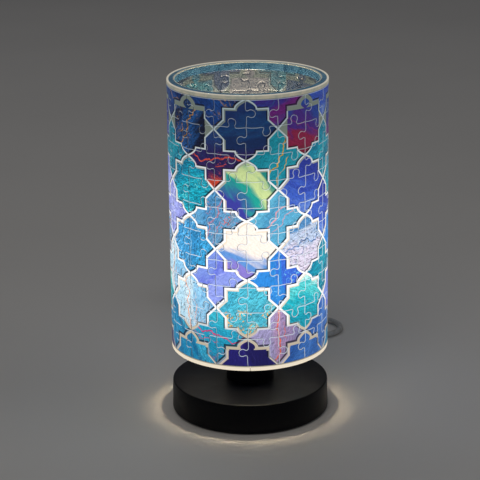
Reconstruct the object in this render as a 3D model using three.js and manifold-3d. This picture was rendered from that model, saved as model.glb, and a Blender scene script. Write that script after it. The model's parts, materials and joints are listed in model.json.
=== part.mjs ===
// Small table lamp with a cylindrical shade of interlocking translucent puzzle pieces.
//
// Millimetres, +Z up. The origin is the centre of the base's underside, the lamp's front faces -Y,
// and the supply cord leaves the base at the back, towards +Y.

import * as THREE from 'three';
import { mergeVertices } from 'three/addons/utils/BufferGeometryUtils.js';
import Module from 'manifold-3d';

const wasm = await Module();
wasm.setup();

// ---------------------------------------------------------------------------------------------
// Driving dimensions
// ---------------------------------------------------------------------------------------------

const GAP = 0.3; // clearance between neighbouring pieces that don't share a flat face
const ROUND = 48; // sides of a large round piece
const SMALL_ROUND = 24; // sides of a small round piece

// Base: a low black drum that hides an iron ring.
const BASE_RADIUS = 50.9;
const BASE_TOP_RADIUS = 50.4;
const BASE_TOP = 20.2;
const BASE_WALL = 2.0;
const BASE_BEVEL = 0.8;
const COVER_BOTTOM = 1.0;
const PAD_RADIUS = 38.5;
const PAD_TOP = 1.5;
const PLATE_RADIUS = 48.1;
const PLATE_TOP = 2.7;
const SCREW_CIRCLE = 44.2;
const SCREW_ANGLES = [-90, 30, 150];
const PILOT_RADIUS = 1.6; // holes for the small screws

// Shade: sixteen columns of puzzle pieces between two clear rings.
const SHADE_RADIUS = 50.5;
const SHADE_WALL = 2.4;
const SHADE_BOTTOM = 43.7;
const SHADE_TOP = 220.0;
const COLUMNS = 16;
const FIRST_SEAM_ANGLE = -1.65; // degrees from the front, positive to the right
const RING_BAND = 3.0; // height of a ring's visible band
const RING_INNER_RADIUS = 45.5;
const RING_SKIRT = 2.6; // how far a ring reaches inside the wall
const TOP_JOINT_ANGLE = -32; // where the two halves of the top ring meet
const BOTTOM_JOINT_ANGLE = 0;

// Neck, lampholder and the plate that carries the shade.
const NECK_RADIUS = 15.5;
const NECK_TOP = 43.5;
const TUBE_RADIUS = 5.0; // M10 lamp tube
const TUBE_BORE = 3.5;
const TUBE_TOP = 32;
const HOLDER_RADIUS = 14.0; // crest of the thread that takes the ring nut
const HOLDER_SPLIT = NECK_TOP - 2.6; // where the lampholder's cap and sleeve meet
const INSERT_TOP = HOLDER_SPLIT + 11;
const HOLDER_TOP = NECK_TOP + 28.4;
const CARRIER_THICKNESS = 2.2;
const CARRIER_RADIUS = 45.2;
const LEDGE_RADIUS = 42.5; // the bottom ring's inner ledge, which rests on the carrier
const NUT_RADIUS = 17.5;
const NUT_HEIGHT = 7.0;
const WASHER_THICKNESS = 0.8;

// Bulb: a 45 mm opal globe on a small screw cap.
const BULB_TIP_Z = INSERT_TOP + 4;
const CAP_RADIUS = 6.85;
const GLOBE_RADIUS = 22.5;
const GLOBE_Z = BULB_TIP_Z + 57.5;
const GLOBE_WALL = 0.8;
const COLLAR_TOP = GLOBE_Z - 16.5;

// Supply cord, with its switch and plug.
const CORD_RADIUS = 2.0;
const CORD_SIDES = 8;
const CORD_EXIT_Z = 8.5;
const BOOT_END = 74.6;
const SWITCH = { x: 2, y: 154, length: 58, width: 26, split: 8, height: 15.5 };
const ROCKER = { pivotZ: 12, length: 18, width: 10.2, tilt: 10 };
const COIL = { x: -14, y: 206, pitch: 4.2, lanes: 3.5, layers: 4, middle: 24 };
const PLUG = { rearX: -2, y: 198, length: 34, width: 35, thickness: 13.7, pin: 19 };

// The cord on the floor, from the boot to the switch: out to the right, round and back.
const ROUTE_TO_SWITCH = [
  [0, 75.1, 8.5],
  [0, 79.4, 8.3],
  [0.9, 84.6, 7.0],
  [3.6, 89.9, 5.0],
  [8.4, 94.6, 3.2],
  [15.2, 98.5, 2.2],
  [24, 102.8, 2.1],
  [33, 108.2, 2.1],
  [41, 114.1, 2.1],
  [49, 118.8, 2.1],
  [57.3, 121.9, 2.1],
  [63.9, 128.2, 2.1],
  [66.4, 137, 2.1],
  [64, 145.8, 2.1],
  [57.6, 152.2, 2.1],
  [49.5, 154.4, 3.0],
  [43, 154.2, 4.9],
  [37, 154, 6.9],
  [31.5, 154, 7.5],
];

// From the switch to the coil's outer turn.
const ROUTE_TO_COIL = [
  [-27.5, 154, 7.5],
  [-31.7, 154.5, 7.35],
  [-35.7, 156.1, 6.9],
  [-39.1, 158.6, 6.1],
  [-41.8, 161.8, 5.1],
  [-43.6, 165.6, 4.1],
  [-44.5, 169.7, 3.2],
  [-44.7, 174, 2.5],
  [-44.4, 181, 2.1],
  [-43.7, 189.9, 2.1],
];

// From the top of the coil round to the back of the plug, which lies on the coil.
const ROUTE_TO_PLUG = [
  [11.2, 225, 19.2],
  [13.4, 221.5, 20.1],
  [14.6, 217.6, 20.9],
  [14.9, 213.4, 21.6],
  [14.1, 209.4, 22.2],
  [12.3, 205.6, 22.8],
  [9.6, 202.4, 23.3],
  [6.3, 200, 23.7],
  [2.4, 198.5, 23.9],
  [-1.7, 198, 23.95],
];

// ---------------------------------------------------------------------------------------------
// Materials
// ---------------------------------------------------------------------------------------------

function material(color, roughness, metalness) {
  return new THREE.MeshStandardMaterial({ color, roughness, metalness });
}

const satinBlack = material(0x0d0d0f, 0.42, 0.0);
const matteBlack = material(0x17171a, 0.6, 0.0);
const rubber = material(0x1c1c1c, 0.9, 0.0);
const castIron = material(0x4a4a4c, 0.7, 0.8);
const zincSteel = material(0xa8abb0, 0.4, 1.0);
const brass = material(0xc9a24a, 0.35, 1.0);
const nickel = material(0xc2bfb8, 0.3, 1.0);
const ceramic = material(0xe8e4da, 0.35, 0.0);
const clearPlastic = material(0xdfe8ec, 0.15, 0.0);
const printedPlastic = material(0x3f8fc4, 0.3, 0.0);
const opal = material(0xfff3d8, 0.4, 0.0);
const whitePlastic = material(0xeeeeea, 0.45, 0.0);
const boardWhite = material(0xdfe3e0, 0.5, 0.2);
const blackGlass = material(0x101014, 0.2, 0.0);
const cordGrey = material(0xb4b3b0, 0.5, 0.0);

// ---------------------------------------------------------------------------------------------
// Geometry helpers
// ---------------------------------------------------------------------------------------------

const radians = THREE.MathUtils.degToRad;

/** The direction of an angle from the lamp's front, as an angle from +X. */
const fromFront = (degrees) => radians(degrees - 90);

/** A profile of [radius, height] points, counter-clockwise, turned about Z. */
function lathe(profile, sides) {
  const points = profile.map(([radius, height]) => new THREE.Vector2(radius, height));
  return new THREE.LatheGeometry(points, sides).rotateX(Math.PI / 2);
}

/** The closed profile of a plain tube or ring. */
function tubeProfile(inner, outer, bottom, top) {
  return [[inner, bottom], [outer, bottom], [outer, top], [inner, top], [inner, bottom]];
}

function ring(inner, outer, bottom, top, sides) {
  return lathe(tubeProfile(inner, outer, bottom, top), sides);
}

function disc(radius, bottom, top, sides) {
  return lathe([[0, bottom], [radius, bottom], [radius, top], [0, top]], sides);
}

/** A flat outline raised from bottom to top. */
function raise(shape, bottom, top) {
  const settings = { depth: top - bottom, bevelEnabled: false };
  return new THREE.ExtrudeGeometry(shape, settings).translate(0, 0, bottom);
}

function polygon(points) {
  return new THREE.Shape(points.map(([x, y]) => new THREE.Vector2(x, y)));
}

function hole(points) {
  return new THREE.Path(points.map(([x, y]) => new THREE.Vector2(x, y)));
}

/** Points along an arc about the origin, both ends included. */
function arc(radius, from, to, steps) {
  const points = [];
  for (let i = 0; i <= steps; i++) {
    const angle = from + ((to - from) * i) / steps;
    points.push([radius * Math.cos(angle), radius * Math.sin(angle)]);
  }
  return points;
}

/** The corners of a regular polygon that stands for a circle. */
function circle(radius, sides, x = 0, y = 0) {
  const points = arc(radius, 0, 2 * Math.PI, sides).slice(0, sides);
  return points.map(([px, py]) => [px + x, py + y]);
}

/** A rectangle with rounded corners, centred on the origin. */
function roundedRectangle(length, width, corner) {
  const steps = 6;
  const centres = [[1, 1], [-1, 1], [-1, -1], [1, -1]];
  const corners = centres.map(([sideX, sideY], i) => {
    const x = sideX * (length / 2 - corner);
    const y = sideY * (width / 2 - corner);
    const turn = (i * Math.PI) / 2;
    return arc(corner, turn, turn + Math.PI / 2, steps).map(([px, py]) => [px + x, py + y]);
  });
  return polygon(corners.flat());
}

/** A three.js geometry as a solid that can be cut and joined. */
function solid(geometry) {
  const plain = geometry.clone();
  plain.deleteAttribute('normal');
  plain.deleteAttribute('uv');
  const merged = mergeVertices(plain, 1e-4);
  const mesh = new wasm.Mesh({
    numProp: 3,
    vertProperties: new Float32Array(merged.attributes.position.array),
    triVerts: new Uint32Array(merged.index.array),
  });
  return new wasm.Manifold(mesh);
}

/** A solid as a three.js geometry. */
function surface(manifold) {
  const mesh = manifold.getMesh();
  const geometry = new THREE.BufferGeometry();
  geometry.setAttribute('position', new THREE.BufferAttribute(mesh.vertProperties, 3));
  geometry.setIndex(new THREE.BufferAttribute(mesh.triVerts, 1));
  geometry.computeVertexNormals();
  return geometry;
}

/** The first geometry with the others joined to it. */
function join(first, ...others) {
  return surface(others.reduce((whole, piece) => whole.add(solid(piece)), solid(first)));
}

/** The first geometry with the others taken out of it. */
function cut(first, ...tools) {
  return surface(tools.reduce((rest, tool) => rest.subtract(solid(tool)), solid(first)));
}

/** A round cord along a smooth curve through the given points. */
function cordAlong(points) {
  const curve = new THREE.CatmullRomCurve3(points.map((p) => new THREE.Vector3(...p)));
  curve.curveType = 'centripetal';
  const section = polygon(circle(CORD_RADIUS, CORD_SIDES));
  const steps = Math.max(6, Math.round(curve.getLength() / (5 * CORD_RADIUS)));
  return new THREE.ExtrudeGeometry(section, { steps, extrudePath: curve });
}

/** Adds one named sub-part to a group. */
function add(group, name, geometry, finish) {
  const mesh = new THREE.Mesh(geometry, finish);
  mesh.name = name;
  group.add(mesh);
  return mesh;
}

// ---------------------------------------------------------------------------------------------
// Base
// ---------------------------------------------------------------------------------------------

function aroundScrewCircle(geometry, degrees) {
  const angle = radians(degrees);
  return geometry.translate(SCREW_CIRCLE * Math.cos(angle), SCREW_CIRCLE * Math.sin(angle), 0);
}

/** The black drum: an open cup, mouth down, with three screw bosses inside. */
function baseCover() {
  const innerTop = BASE_TOP - BASE_WALL;
  const bore = TUBE_RADIUS + GAP;
  const cup = lathe(
    [
      [bore, innerTop],
      [BASE_TOP_RADIUS - BASE_WALL, innerTop],
      [BASE_RADIUS - BASE_WALL, COVER_BOTTOM],
      [BASE_RADIUS, COVER_BOTTOM],
      [BASE_TOP_RADIUS, BASE_TOP - BASE_BEVEL],
      [BASE_TOP_RADIUS - BASE_BEVEL, BASE_TOP],
      [bore, BASE_TOP],
      [bore, innerTop],
    ],
    ROUND,
  );
  const bossBottom = PLATE_TOP + GAP;
  const bosses = SCREW_ANGLES.map((a) => aroundScrewCircle(disc(3, bossBottom, innerTop + 0.5, 12), a));
  const pilots = SCREW_ANGLES.map((a) => aroundScrewCircle(disc(PILOT_RADIUS, 1, 12, 12), a));
  const cordHole = disc(3.6, BASE_RADIUS - 6, BASE_RADIUS + 4, SMALL_ROUND)
    .rotateX(-Math.PI / 2)
    .translate(0, 0, CORD_EXIT_Z);
  return cut(join(cup, ...bosses), ...pilots, cordHole);
}

/** The steel plate that closes the base from below. */
function basePlate() {
  const outline = polygon(circle(PLATE_RADIUS, ROUND));
  for (const degrees of SCREW_ANGLES) {
    const angle = radians(degrees);
    const x = SCREW_CIRCLE * Math.cos(angle);
    const y = SCREW_CIRCLE * Math.sin(angle);
    outline.holes.push(hole(circle(PILOT_RADIUS, 12, x, y)));
  }
  return raise(outline, PAD_TOP, PLATE_TOP);
}

/** The iron ring that keeps the lamp from tipping, open at the back for the cord. */
function ballastRing() {
  const outer = PAD_RADIUS - 0.5;
  const inner = 18;
  const halfSlot = 13;
  const outerSpan = Math.asin(halfSlot / outer);
  const innerSpan = Math.asin(halfSlot / inner);
  const back = Math.PI / 2;
  const round = back + 2 * Math.PI;
  const outside = arc(outer, back + outerSpan, round - outerSpan, 40);
  const inside = arc(inner, round - innerSpan, back + innerSpan, 20);
  return raise(polygon([...outside, ...inside]), PLATE_TOP, PLATE_TOP + 11);
}

/** A pan-head screw, driven from below. */
function baseScrew() {
  const headBottom = 0.5;
  return lathe(
    [
      [0, headBottom + 0.5],
      [1.2, headBottom],
      [2.4, headBottom],
      [2.7, PAD_TOP - 0.4],
      [2.7, PAD_TOP],
      [1.25, PAD_TOP],
      [1.25, 9],
      [0, 10],
    ],
    12,
  );
}

function addBase(lamp) {
  add(lamp, 'foot_pad', disc(PAD_RADIUS, 0, PAD_TOP, ROUND), rubber);
  add(lamp, 'base_plate', basePlate(), zincSteel);
  add(lamp, 'ballast_ring', ballastRing(), castIron);
  add(lamp, 'base_cover', baseCover(), satinBlack);
  SCREW_ANGLES.forEach((degrees, i) => {
    add(lamp, `base_screw_${i + 1}`, aroundScrewCircle(baseScrew(), degrees), zincSteel);
  });
}

// ---------------------------------------------------------------------------------------------
// Neck and lampholder
// ---------------------------------------------------------------------------------------------

/** A thin hexagonal nut on the lamp tube. */
function tubeNut(bottom, top) {
  const acrossFlats = 14;
  const outline = polygon(circle(acrossFlats / Math.sqrt(3), 6));
  outline.holes.push(hole(circle(TUBE_RADIUS + GAP, SMALL_ROUND)));
  return raise(outline, bottom, top);
}

/** The black tube between base and shade, with a floor that the lamp tube clamps. */
function neckSleeve() {
  const bore = TUBE_RADIUS + GAP;
  const inner = HOLDER_RADIUS + 0.1;
  const floorTop = BASE_TOP + 2;
  return lathe(
    [
      [bore, BASE_TOP],
      [NECK_RADIUS, BASE_TOP],
      [NECK_RADIUS, NECK_TOP],
      [inner, NECK_TOP],
      [inner, floorTop],
      [bore, floorTop],
      [bore, BASE_TOP],
    ],
    36,
  );
}

const HOLDER_BOTTOM = BASE_TOP + 2;

/** The lower cup of the lampholder, hidden in the neck. */
function holderCap() {
  const bore = TUBE_RADIUS + GAP;
  const outer = HOLDER_RADIUS - 0.2;
  const inner = 11;
  const floorTop = HOLDER_BOTTOM + 3;
  return lathe(
    [
      [bore, HOLDER_BOTTOM],
      [outer, HOLDER_BOTTOM],
      [outer, HOLDER_SPLIT],
      [inner, HOLDER_SPLIT],
      [inner, floorTop],
      [bore, floorTop],
      [bore, HOLDER_BOTTOM],
    ],
    SMALL_ROUND,
  );
}

/** The lampholder's outer sleeve; the ring nut runs on its lower part. */
function holderSleeve() {
  const inner = 12.6;
  const mouth = 8.6;
  return lathe(
    [
      [inner, HOLDER_SPLIT],
      [HOLDER_RADIUS - 0.2, HOLDER_SPLIT],
      [HOLDER_RADIUS - 0.2, NECK_TOP + GAP],
      [HOLDER_RADIUS, NECK_TOP + 2 * GAP],
      [HOLDER_RADIUS, HOLDER_TOP - 11],
      [13, HOLDER_TOP - 10],
      [13, HOLDER_TOP - 1],
      [12, HOLDER_TOP],
      [mouth, HOLDER_TOP],
      [mouth, HOLDER_TOP - 2.5],
      [inner, HOLDER_TOP - 2.5],
      [inner, HOLDER_SPLIT],
    ],
    32,
  );
}

/** The ceramic disc that holds the contacts. */
function holderInsert() {
  const outer = 12.3;
  return lathe(
    [
      [0, HOLDER_SPLIT],
      [outer, HOLDER_SPLIT],
      [outer, INSERT_TOP],
      [5, INSERT_TOP],
      [5, INSERT_TOP - 3],
      [0, INSERT_TOP - 3],
    ],
    SMALL_ROUND,
  );
}

/** The brass shell that the bulb's cap screws into. */
function holderScrewShell() {
  const inner = CAP_RADIUS + 0.5;
  const outer = inner + 0.5;
  const lip = 5.2;
  const top = HOLDER_TOP - 2.5 - GAP;
  return lathe(
    [
      [lip, INSERT_TOP],
      [outer, INSERT_TOP],
      [outer, top],
      [inner, top],
      [inner, INSERT_TOP + 0.6],
      [lip, INSERT_TOP + 0.6],
      [lip, INSERT_TOP],
    ],
    SMALL_ROUND,
  );
}

/** The springy centre contact, a bent strip under the bulb's tip. */
function holderContact() {
  const foot = INSERT_TOP - 3;
  const top = BULB_TIP_Z - GAP;
  const strip = 0.5;
  const side = polygon([
    [-4, foot],
    [3, foot],
    [3, foot + strip],
    [-3.2, foot + strip],
    [-1.2, top - strip],
    [2, top - strip],
    [2, top],
    [-1.6, top],
  ]);
  return raise(side, -2, 2).rotateX(Math.PI / 2);
}

function addNeckAndHolder(lamp) {
  const ceiling = BASE_TOP - BASE_WALL;
  const tube = ring(TUBE_BORE, TUBE_RADIUS, ceiling - 3.7, TUBE_TOP, SMALL_ROUND);
  const washer = ring(TUBE_RADIUS + GAP, 9, ceiling - 1, ceiling, SMALL_ROUND);
  add(lamp, 'threaded_tube', tube, zincSteel);
  add(lamp, 'tube_washer', washer, zincSteel);
  add(lamp, 'tube_nut', tubeNut(ceiling - 3.2, ceiling - 1), zincSteel);
  add(lamp, 'neck_sleeve', neckSleeve(), satinBlack);
  add(lamp, 'holder_cap', holderCap(), matteBlack);
  add(lamp, 'holder_sleeve', holderSleeve(), matteBlack);
  add(lamp, 'holder_insert', holderInsert(), ceramic);
  add(lamp, 'holder_screw_shell', holderScrewShell(), brass);
  add(lamp, 'holder_contact', holderContact(), brass);
}

// ---------------------------------------------------------------------------------------------
// Shade carrier and ring nut
// ---------------------------------------------------------------------------------------------

const CARRIER_TOP = NECK_TOP + CARRIER_THICKNESS;

/** A clear wheel of hub, rim and four arms; the air rises between the arms. */
function shadeCarrier() {
  const hub = 20;
  const rim = 41.5;
  const halfArm = 3.5;
  const outerSpan = Math.PI / 4 - Math.asin(halfArm / rim);
  const innerSpan = Math.PI / 4 - Math.asin(halfArm / hub);
  const outline = polygon(circle(CARRIER_RADIUS, ROUND));
  outline.holes.push(hole(circle(HOLDER_RADIUS + 0.5, SMALL_ROUND)));
  for (let i = 0; i < 4; i++) {
    const middle = (i * Math.PI) / 2;
    const outside = arc(rim, middle - outerSpan, middle + outerSpan, 10);
    const inside = arc(hub, middle + innerSpan, middle - innerSpan, 5);
    outline.holes.push(hole([...outside, ...inside]));
  }
  return raise(outline, NECK_TOP, CARRIER_TOP);
}

/** The plastic nut that clamps the carrier, with a flange below and finger ribs above. */
function ringNut() {
  const bottom = CARRIER_TOP + WASHER_THICKNESS;
  const bore = HOLDER_RADIUS + 0.4;
  const ribs = 20;
  const corners = [];
  for (let i = 0; i < 2 * ribs; i++) {
    const angle = (i * Math.PI) / ribs;
    const radius = i % 2 ? NUT_RADIUS : NUT_RADIUS - 0.8;
    corners.push([radius * Math.cos(angle), radius * Math.sin(angle)]);
  }
  const grip = polygon(corners);
  grip.holes.push(hole(circle(bore, ribs)));
  const flange = ring(bore, NUT_RADIUS + 2, bottom, bottom + 2, ribs);
  return join(flange, raise(grip, bottom + 1, bottom + NUT_HEIGHT));
}

function addCarrierAndNut(lamp) {
  const washerTop = CARRIER_TOP + WASHER_THICKNESS;
  const washer = ring(HOLDER_RADIUS + 0.4, 18.5, CARRIER_TOP, washerTop, 32);
  add(lamp, 'shade_carrier', shadeCarrier(), clearPlastic);
  add(lamp, 'ring_nut_washer', washer, whitePlastic);
  add(lamp, 'ring_nut', ringNut(), matteBlack);
}

// ---------------------------------------------------------------------------------------------
// Bulb
// ---------------------------------------------------------------------------------------------

function bulbTip() {
  const top = BULB_TIP_Z + 1.6;
  return lathe([[0, BULB_TIP_Z], [1.6, BULB_TIP_Z], [2.4, BULB_TIP_Z + 0.7], [2.4, top], [0, top]], 16);
}

function bulbInsulator() {
  const bottom = BULB_TIP_Z + 1.6;
  const top = bottom + 3;
  return lathe([[0, bottom], [3, bottom], [6.2, top - 0.4], [6.2, top], [0, top]], SMALL_ROUND);
}

const CAP_BOTTOM = BULB_TIP_Z + 4.6;
const CAP_TOP = BULB_TIP_Z + 21.5;

/** The metal screw cap, an open cup. */
function bulbCap() {
  const wall = 0.4;
  return lathe(
    [
      [0, CAP_BOTTOM],
      [6.2, CAP_BOTTOM],
      [CAP_RADIUS, CAP_BOTTOM + 1],
      [CAP_RADIUS, CAP_TOP - 2],
      [CAP_RADIUS + 1, CAP_TOP],
      [CAP_RADIUS + 1 - wall, CAP_TOP],
      [CAP_RADIUS - wall, CAP_TOP - 2],
      [CAP_RADIUS - wall, CAP_BOTTOM + 1 + wall],
      [0, CAP_BOTTOM + 1 + wall],
    ],
    SMALL_ROUND,
  );
}

/** The white plastic body between cap and globe, hollow for the driver. */
function bulbCollar() {
  return lathe(
    [
      [4.5, CAP_TOP - 6],
      [6.0, CAP_TOP - 6],
      [6.0, CAP_TOP - 2],
      [7.0, CAP_TOP],
      [8.4, CAP_TOP],
      [9.6, CAP_TOP + 3.5],
      [13.4, COLLAR_TOP - 7],
      [16.4, COLLAR_TOP],
      [12.5, COLLAR_TOP],
      [10.6, COLLAR_TOP - 7],
      [7.4, CAP_TOP + 3.5],
      [4.5, CAP_TOP],
      [4.5, CAP_TOP - 6],
    ],
    SMALL_ROUND,
  );
}

/** The opal globe: a thin spherical shell with an open neck. */
function bulbGlobe() {
  const neckDrop = GLOBE_Z - COLLAR_TOP - GAP;
  const steps = 8;
  const profile = [];
  const innerRadius = GLOBE_RADIUS - GLOBE_WALL;
  const innerStart = -Math.asin(neckDrop / innerRadius);
  const outerStart = -Math.asin(neckDrop / GLOBE_RADIUS);
  for (let i = steps; i >= 0; i--) {
    const angle = innerStart + ((Math.PI / 2 - innerStart) * i) / steps;
    const radius = i === steps ? 0 : innerRadius * Math.cos(angle);
    profile.push([radius, GLOBE_Z + innerRadius * Math.sin(angle)]);
  }
  for (let i = 0; i <= steps; i++) {
    const angle = outerStart + ((Math.PI / 2 - outerStart) * i) / steps;
    const radius = i === steps ? 0 : GLOBE_RADIUS * Math.cos(angle);
    profile.push([radius, GLOBE_Z + GLOBE_RADIUS * Math.sin(angle)]);
  }
  return lathe(profile, SMALL_ROUND);
}

function addBulb(lamp) {
  add(lamp, 'bulb_tip', bulbTip(), brass);
  add(lamp, 'bulb_insulator', bulbInsulator(), blackGlass);
  add(lamp, 'bulb_cap', bulbCap(), nickel);
  add(lamp, 'bulb_collar', bulbCollar(), whitePlastic);
  add(lamp, 'bulb_board', disc(14, COLLAR_TOP, COLLAR_TOP + 1.2, SMALL_ROUND), boardWhite);
  add(lamp, 'bulb_globe', bulbGlobe(), opal);
}

// ---------------------------------------------------------------------------------------------
// Shade
// ---------------------------------------------------------------------------------------------

/** One column of interlocked puzzle pieces: a curved slat that spans a sixteenth of the wall. */
function puzzleColumn(index) {
  const pitch = 360 / COLUMNS;
  const start = fromFront(FIRST_SEAM_ANGLE + index * pitch);
  const end = start + radians(pitch);
  const outerMargin = GAP / 2 / SHADE_RADIUS;
  const innerRadius = SHADE_RADIUS - SHADE_WALL;
  const innerMargin = GAP / 2 / innerRadius;
  const outside = arc(SHADE_RADIUS, start + outerMargin, end - outerMargin, 4);
  const inside = arc(innerRadius, end - innerMargin, start + innerMargin, 4);
  return raise(polygon([...outside, ...inside]), SHADE_BOTTOM + RING_BAND, SHADE_TOP - RING_BAND);
}

const SKIRT_RADIUS = SHADE_RADIUS - SHADE_WALL - 0.4;

function topRingProfile() {
  const bandBottom = SHADE_TOP - RING_BAND;
  return [
    [RING_INNER_RADIUS, bandBottom - RING_SKIRT],
    [SKIRT_RADIUS, bandBottom - RING_SKIRT],
    [SKIRT_RADIUS, bandBottom],
    [SHADE_RADIUS, bandBottom],
    [SHADE_RADIUS, SHADE_TOP],
    [RING_INNER_RADIUS, SHADE_TOP],
    [RING_INNER_RADIUS, bandBottom - RING_SKIRT],
  ];
}

/** As the top ring, turned over, with a ledge that rests on the carrier. */
function bottomRingProfile() {
  const bandTop = SHADE_BOTTOM + RING_BAND;
  return [
    [RING_INNER_RADIUS, SHADE_BOTTOM],
    [SHADE_RADIUS, SHADE_BOTTOM],
    [SHADE_RADIUS, bandTop],
    [SKIRT_RADIUS, bandTop],
    [SKIRT_RADIUS, bandTop + RING_SKIRT],
    [RING_INNER_RADIUS, bandTop + RING_SKIRT],
    [LEDGE_RADIUS, CARRIER_TOP + 1.5],
    [LEDGE_RADIUS, CARRIER_TOP],
    [RING_INNER_RADIUS, CARRIER_TOP],
    [RING_INNER_RADIUS, SHADE_BOTTOM],
  ];
}

/** The half of a ring on one side of its joint: side is 1 for the right half, -1 for the left. */
function halfRing(profile, jointAngle, side) {
  const reach = 2 * SHADE_RADIUS + 10;
  const half = new THREE.BoxGeometry(reach, reach, 2 * SHADE_TOP)
    .translate(0, side * (reach / 2 + GAP / 2), SHADE_TOP / 2)
    .rotateZ(fromFront(jointAngle));
  return surface(solid(lathe(profile, ROUND)).intersect(solid(half)));
}

function addShade(lamp) {
  for (let i = 0; i < COLUMNS; i++) {
    const name = `puzzle_column_${String(i + 1).padStart(2, '0')}`;
    add(lamp, name, puzzleColumn(i), printedPlastic);
  }
  const top = topRingProfile();
  const bottom = bottomRingProfile();
  add(lamp, 'top_ring_right', halfRing(top, TOP_JOINT_ANGLE, 1), clearPlastic);
  add(lamp, 'top_ring_left', halfRing(top, TOP_JOINT_ANGLE, -1), clearPlastic);
  add(lamp, 'bottom_ring_right', halfRing(bottom, BOTTOM_JOINT_ANGLE, 1), clearPlastic);
  add(lamp, 'bottom_ring_left', halfRing(bottom, BOTTOM_JOINT_ANGLE, -1), clearPlastic);
}

// ---------------------------------------------------------------------------------------------
// Cord entry
// ---------------------------------------------------------------------------------------------

/** The rubber sleeve that keeps the cord from kinking where it leaves the base. */
function cordBoot() {
  const bore = CORD_RADIUS + GAP;
  const wallInside = BASE_RADIUS - BASE_WALL - 1.1;
  const wallOutside = BASE_RADIUS + 0.1;
  return lathe(
    [
      [bore, wallInside - 2],
      [5.2, wallInside - 2],
      [5.2, wallInside],
      [3.2, wallInside],
      [3.2, wallOutside],
      [4.6, wallOutside],
      [4.6, wallOutside + 1.6],
      [3.9, wallOutside + 2],
      [2.9, BOOT_END],
      [bore, BOOT_END],
      [bore, wallInside - 2],
    ],
    16,
  )
    .rotateX(-Math.PI / 2)
    .translate(0, 0, CORD_EXIT_Z);
}

const CLAMP_Y = 33;
const CLAMP_TOP = 13.2;

/** The block that grips the cord inside the base. */
function cordClamp() {
  const depth = 6;
  const side = polygon([
    [-9, PLATE_TOP],
    [9, PLATE_TOP],
    [9, CLAMP_TOP],
    [-9, CLAMP_TOP],
  ]);
  side.holes.push(hole(circle(CORD_RADIUS + GAP, 16, 0, CORD_EXIT_Z)));
  const block = raise(side, -depth / 2, depth / 2)
    .rotateX(Math.PI / 2)
    .translate(0, CLAMP_Y, 0);
  const screwHole = disc(PILOT_RADIUS, CORD_EXIT_Z, CLAMP_TOP + 1, 12).translate(0, CLAMP_Y, 0);
  return cut(block, screwHole);
}

/** The screw that presses on the cord in its clamp. */
function clampScrew() {
  const foot = CORD_EXIT_Z + CORD_RADIUS + GAP;
  return lathe(
    [
      [0, foot],
      [1.25, foot],
      [1.25, CLAMP_TOP],
      [2.6, CLAMP_TOP],
      [2.6, CLAMP_TOP + 1],
      [2.2, CLAMP_TOP + 1.6],
      [0, CLAMP_TOP + 1.6],
    ],
    12,
  ).translate(0, CLAMP_Y, 0);
}

/** The cord inside the lamp: in through the boot and clamp, and up the lamp tube. */
function cordInside() {
  const bend = 8;
  const route = [];
  for (let y = BOOT_END; y > bend + 4; y -= 15) {
    route.push([0, y, CORD_EXIT_Z]);
  }
  for (let degrees = 0; degrees <= 90; degrees += 15) {
    const angle = radians(degrees);
    route.push([0, bend - bend * Math.sin(angle), CORD_EXIT_Z + bend - bend * Math.cos(angle)]);
  }
  route.push([0, 0, 30]);
  route.push([0, 0, HOLDER_SPLIT - GAP]);
  return cordAlong(route);
}

function addCordEntry(lamp) {
  add(lamp, 'cord_boot', cordBoot(), rubber);
  add(lamp, 'cord_clamp', cordClamp(), matteBlack);
  add(lamp, 'clamp_screw', clampScrew(), zincSteel);
  add(lamp, 'cord_inside', cordInside(), cordGrey);
}

// ---------------------------------------------------------------------------------------------
// Cord, switch and plug
// ---------------------------------------------------------------------------------------------

/** The outer shape of the coiled part of the cord. */
function cordCoil() {
  const halfWidth = (COIL.lanes * COIL.pitch) / 2;
  const height = COIL.layers * COIL.pitch;
  const coil = ring(COIL.middle - halfWidth, COIL.middle + halfWidth, 0, height, 36);
  return coil.translate(COIL.x, COIL.y, 0);
}

function switchOutline() {
  return roundedRectangle(SWITCH.length, SWITCH.width, 9);
}

function rectangularHole(length, width) {
  const x = length / 2;
  const y = width / 2;
  return hole([[-x, -y], [-x, y], [x, y], [x, -y]]);
}

/** The lower half of the switch housing, with a pocket for the contacts. */
function switchCaseLower() {
  const floor = 2;
  const pocket = raise(roundedRectangle(34, 16, 3), floor, SWITCH.split + 1);
  return cut(raise(switchOutline(), 0, SWITCH.split), pocket);
}

/** The upper half, with the rocker's window. */
function switchCaseUpper() {
  const outline = switchOutline();
  outline.holes.push(rectangularHole(ROCKER.length + 2.6, ROCKER.width + 2 * GAP));
  return raise(outline, SWITCH.split, SWITCH.height);
}

/** The rocker, pivoting about Y, with the end nearer the lamp's right pressed down. */
function switchRocker() {
  const half = ROCKER.length / 2;
  const side = polygon([
    [-half + 1.2, -1.2],
    [half - 1.2, -1.2],
    [half, 3.6],
    [half - 0.8, 4.2],
    [0, 3.0],
    [-half + 0.8, 4.2],
    [-half, 3.6],
  ]);
  return raise(side, -ROCKER.width / 2, ROCKER.width / 2).rotateX(Math.PI / 2);
}

function addSwitch(lamp) {
  const inline = new THREE.Group();
  inline.position.set(SWITCH.x, SWITCH.y, 0);
  lamp.add(inline);
  add(inline, 'switch_case_lower', switchCaseLower(), whitePlastic);
  add(inline, 'switch_case_upper', switchCaseUpper(), whitePlastic);
  const rocker = add(inline, 'switch_rocker', switchRocker(), whitePlastic);
  rocker.position.z = ROCKER.pivotZ;
  rocker.rotation.y = radians(ROCKER.tilt);
}

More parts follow.
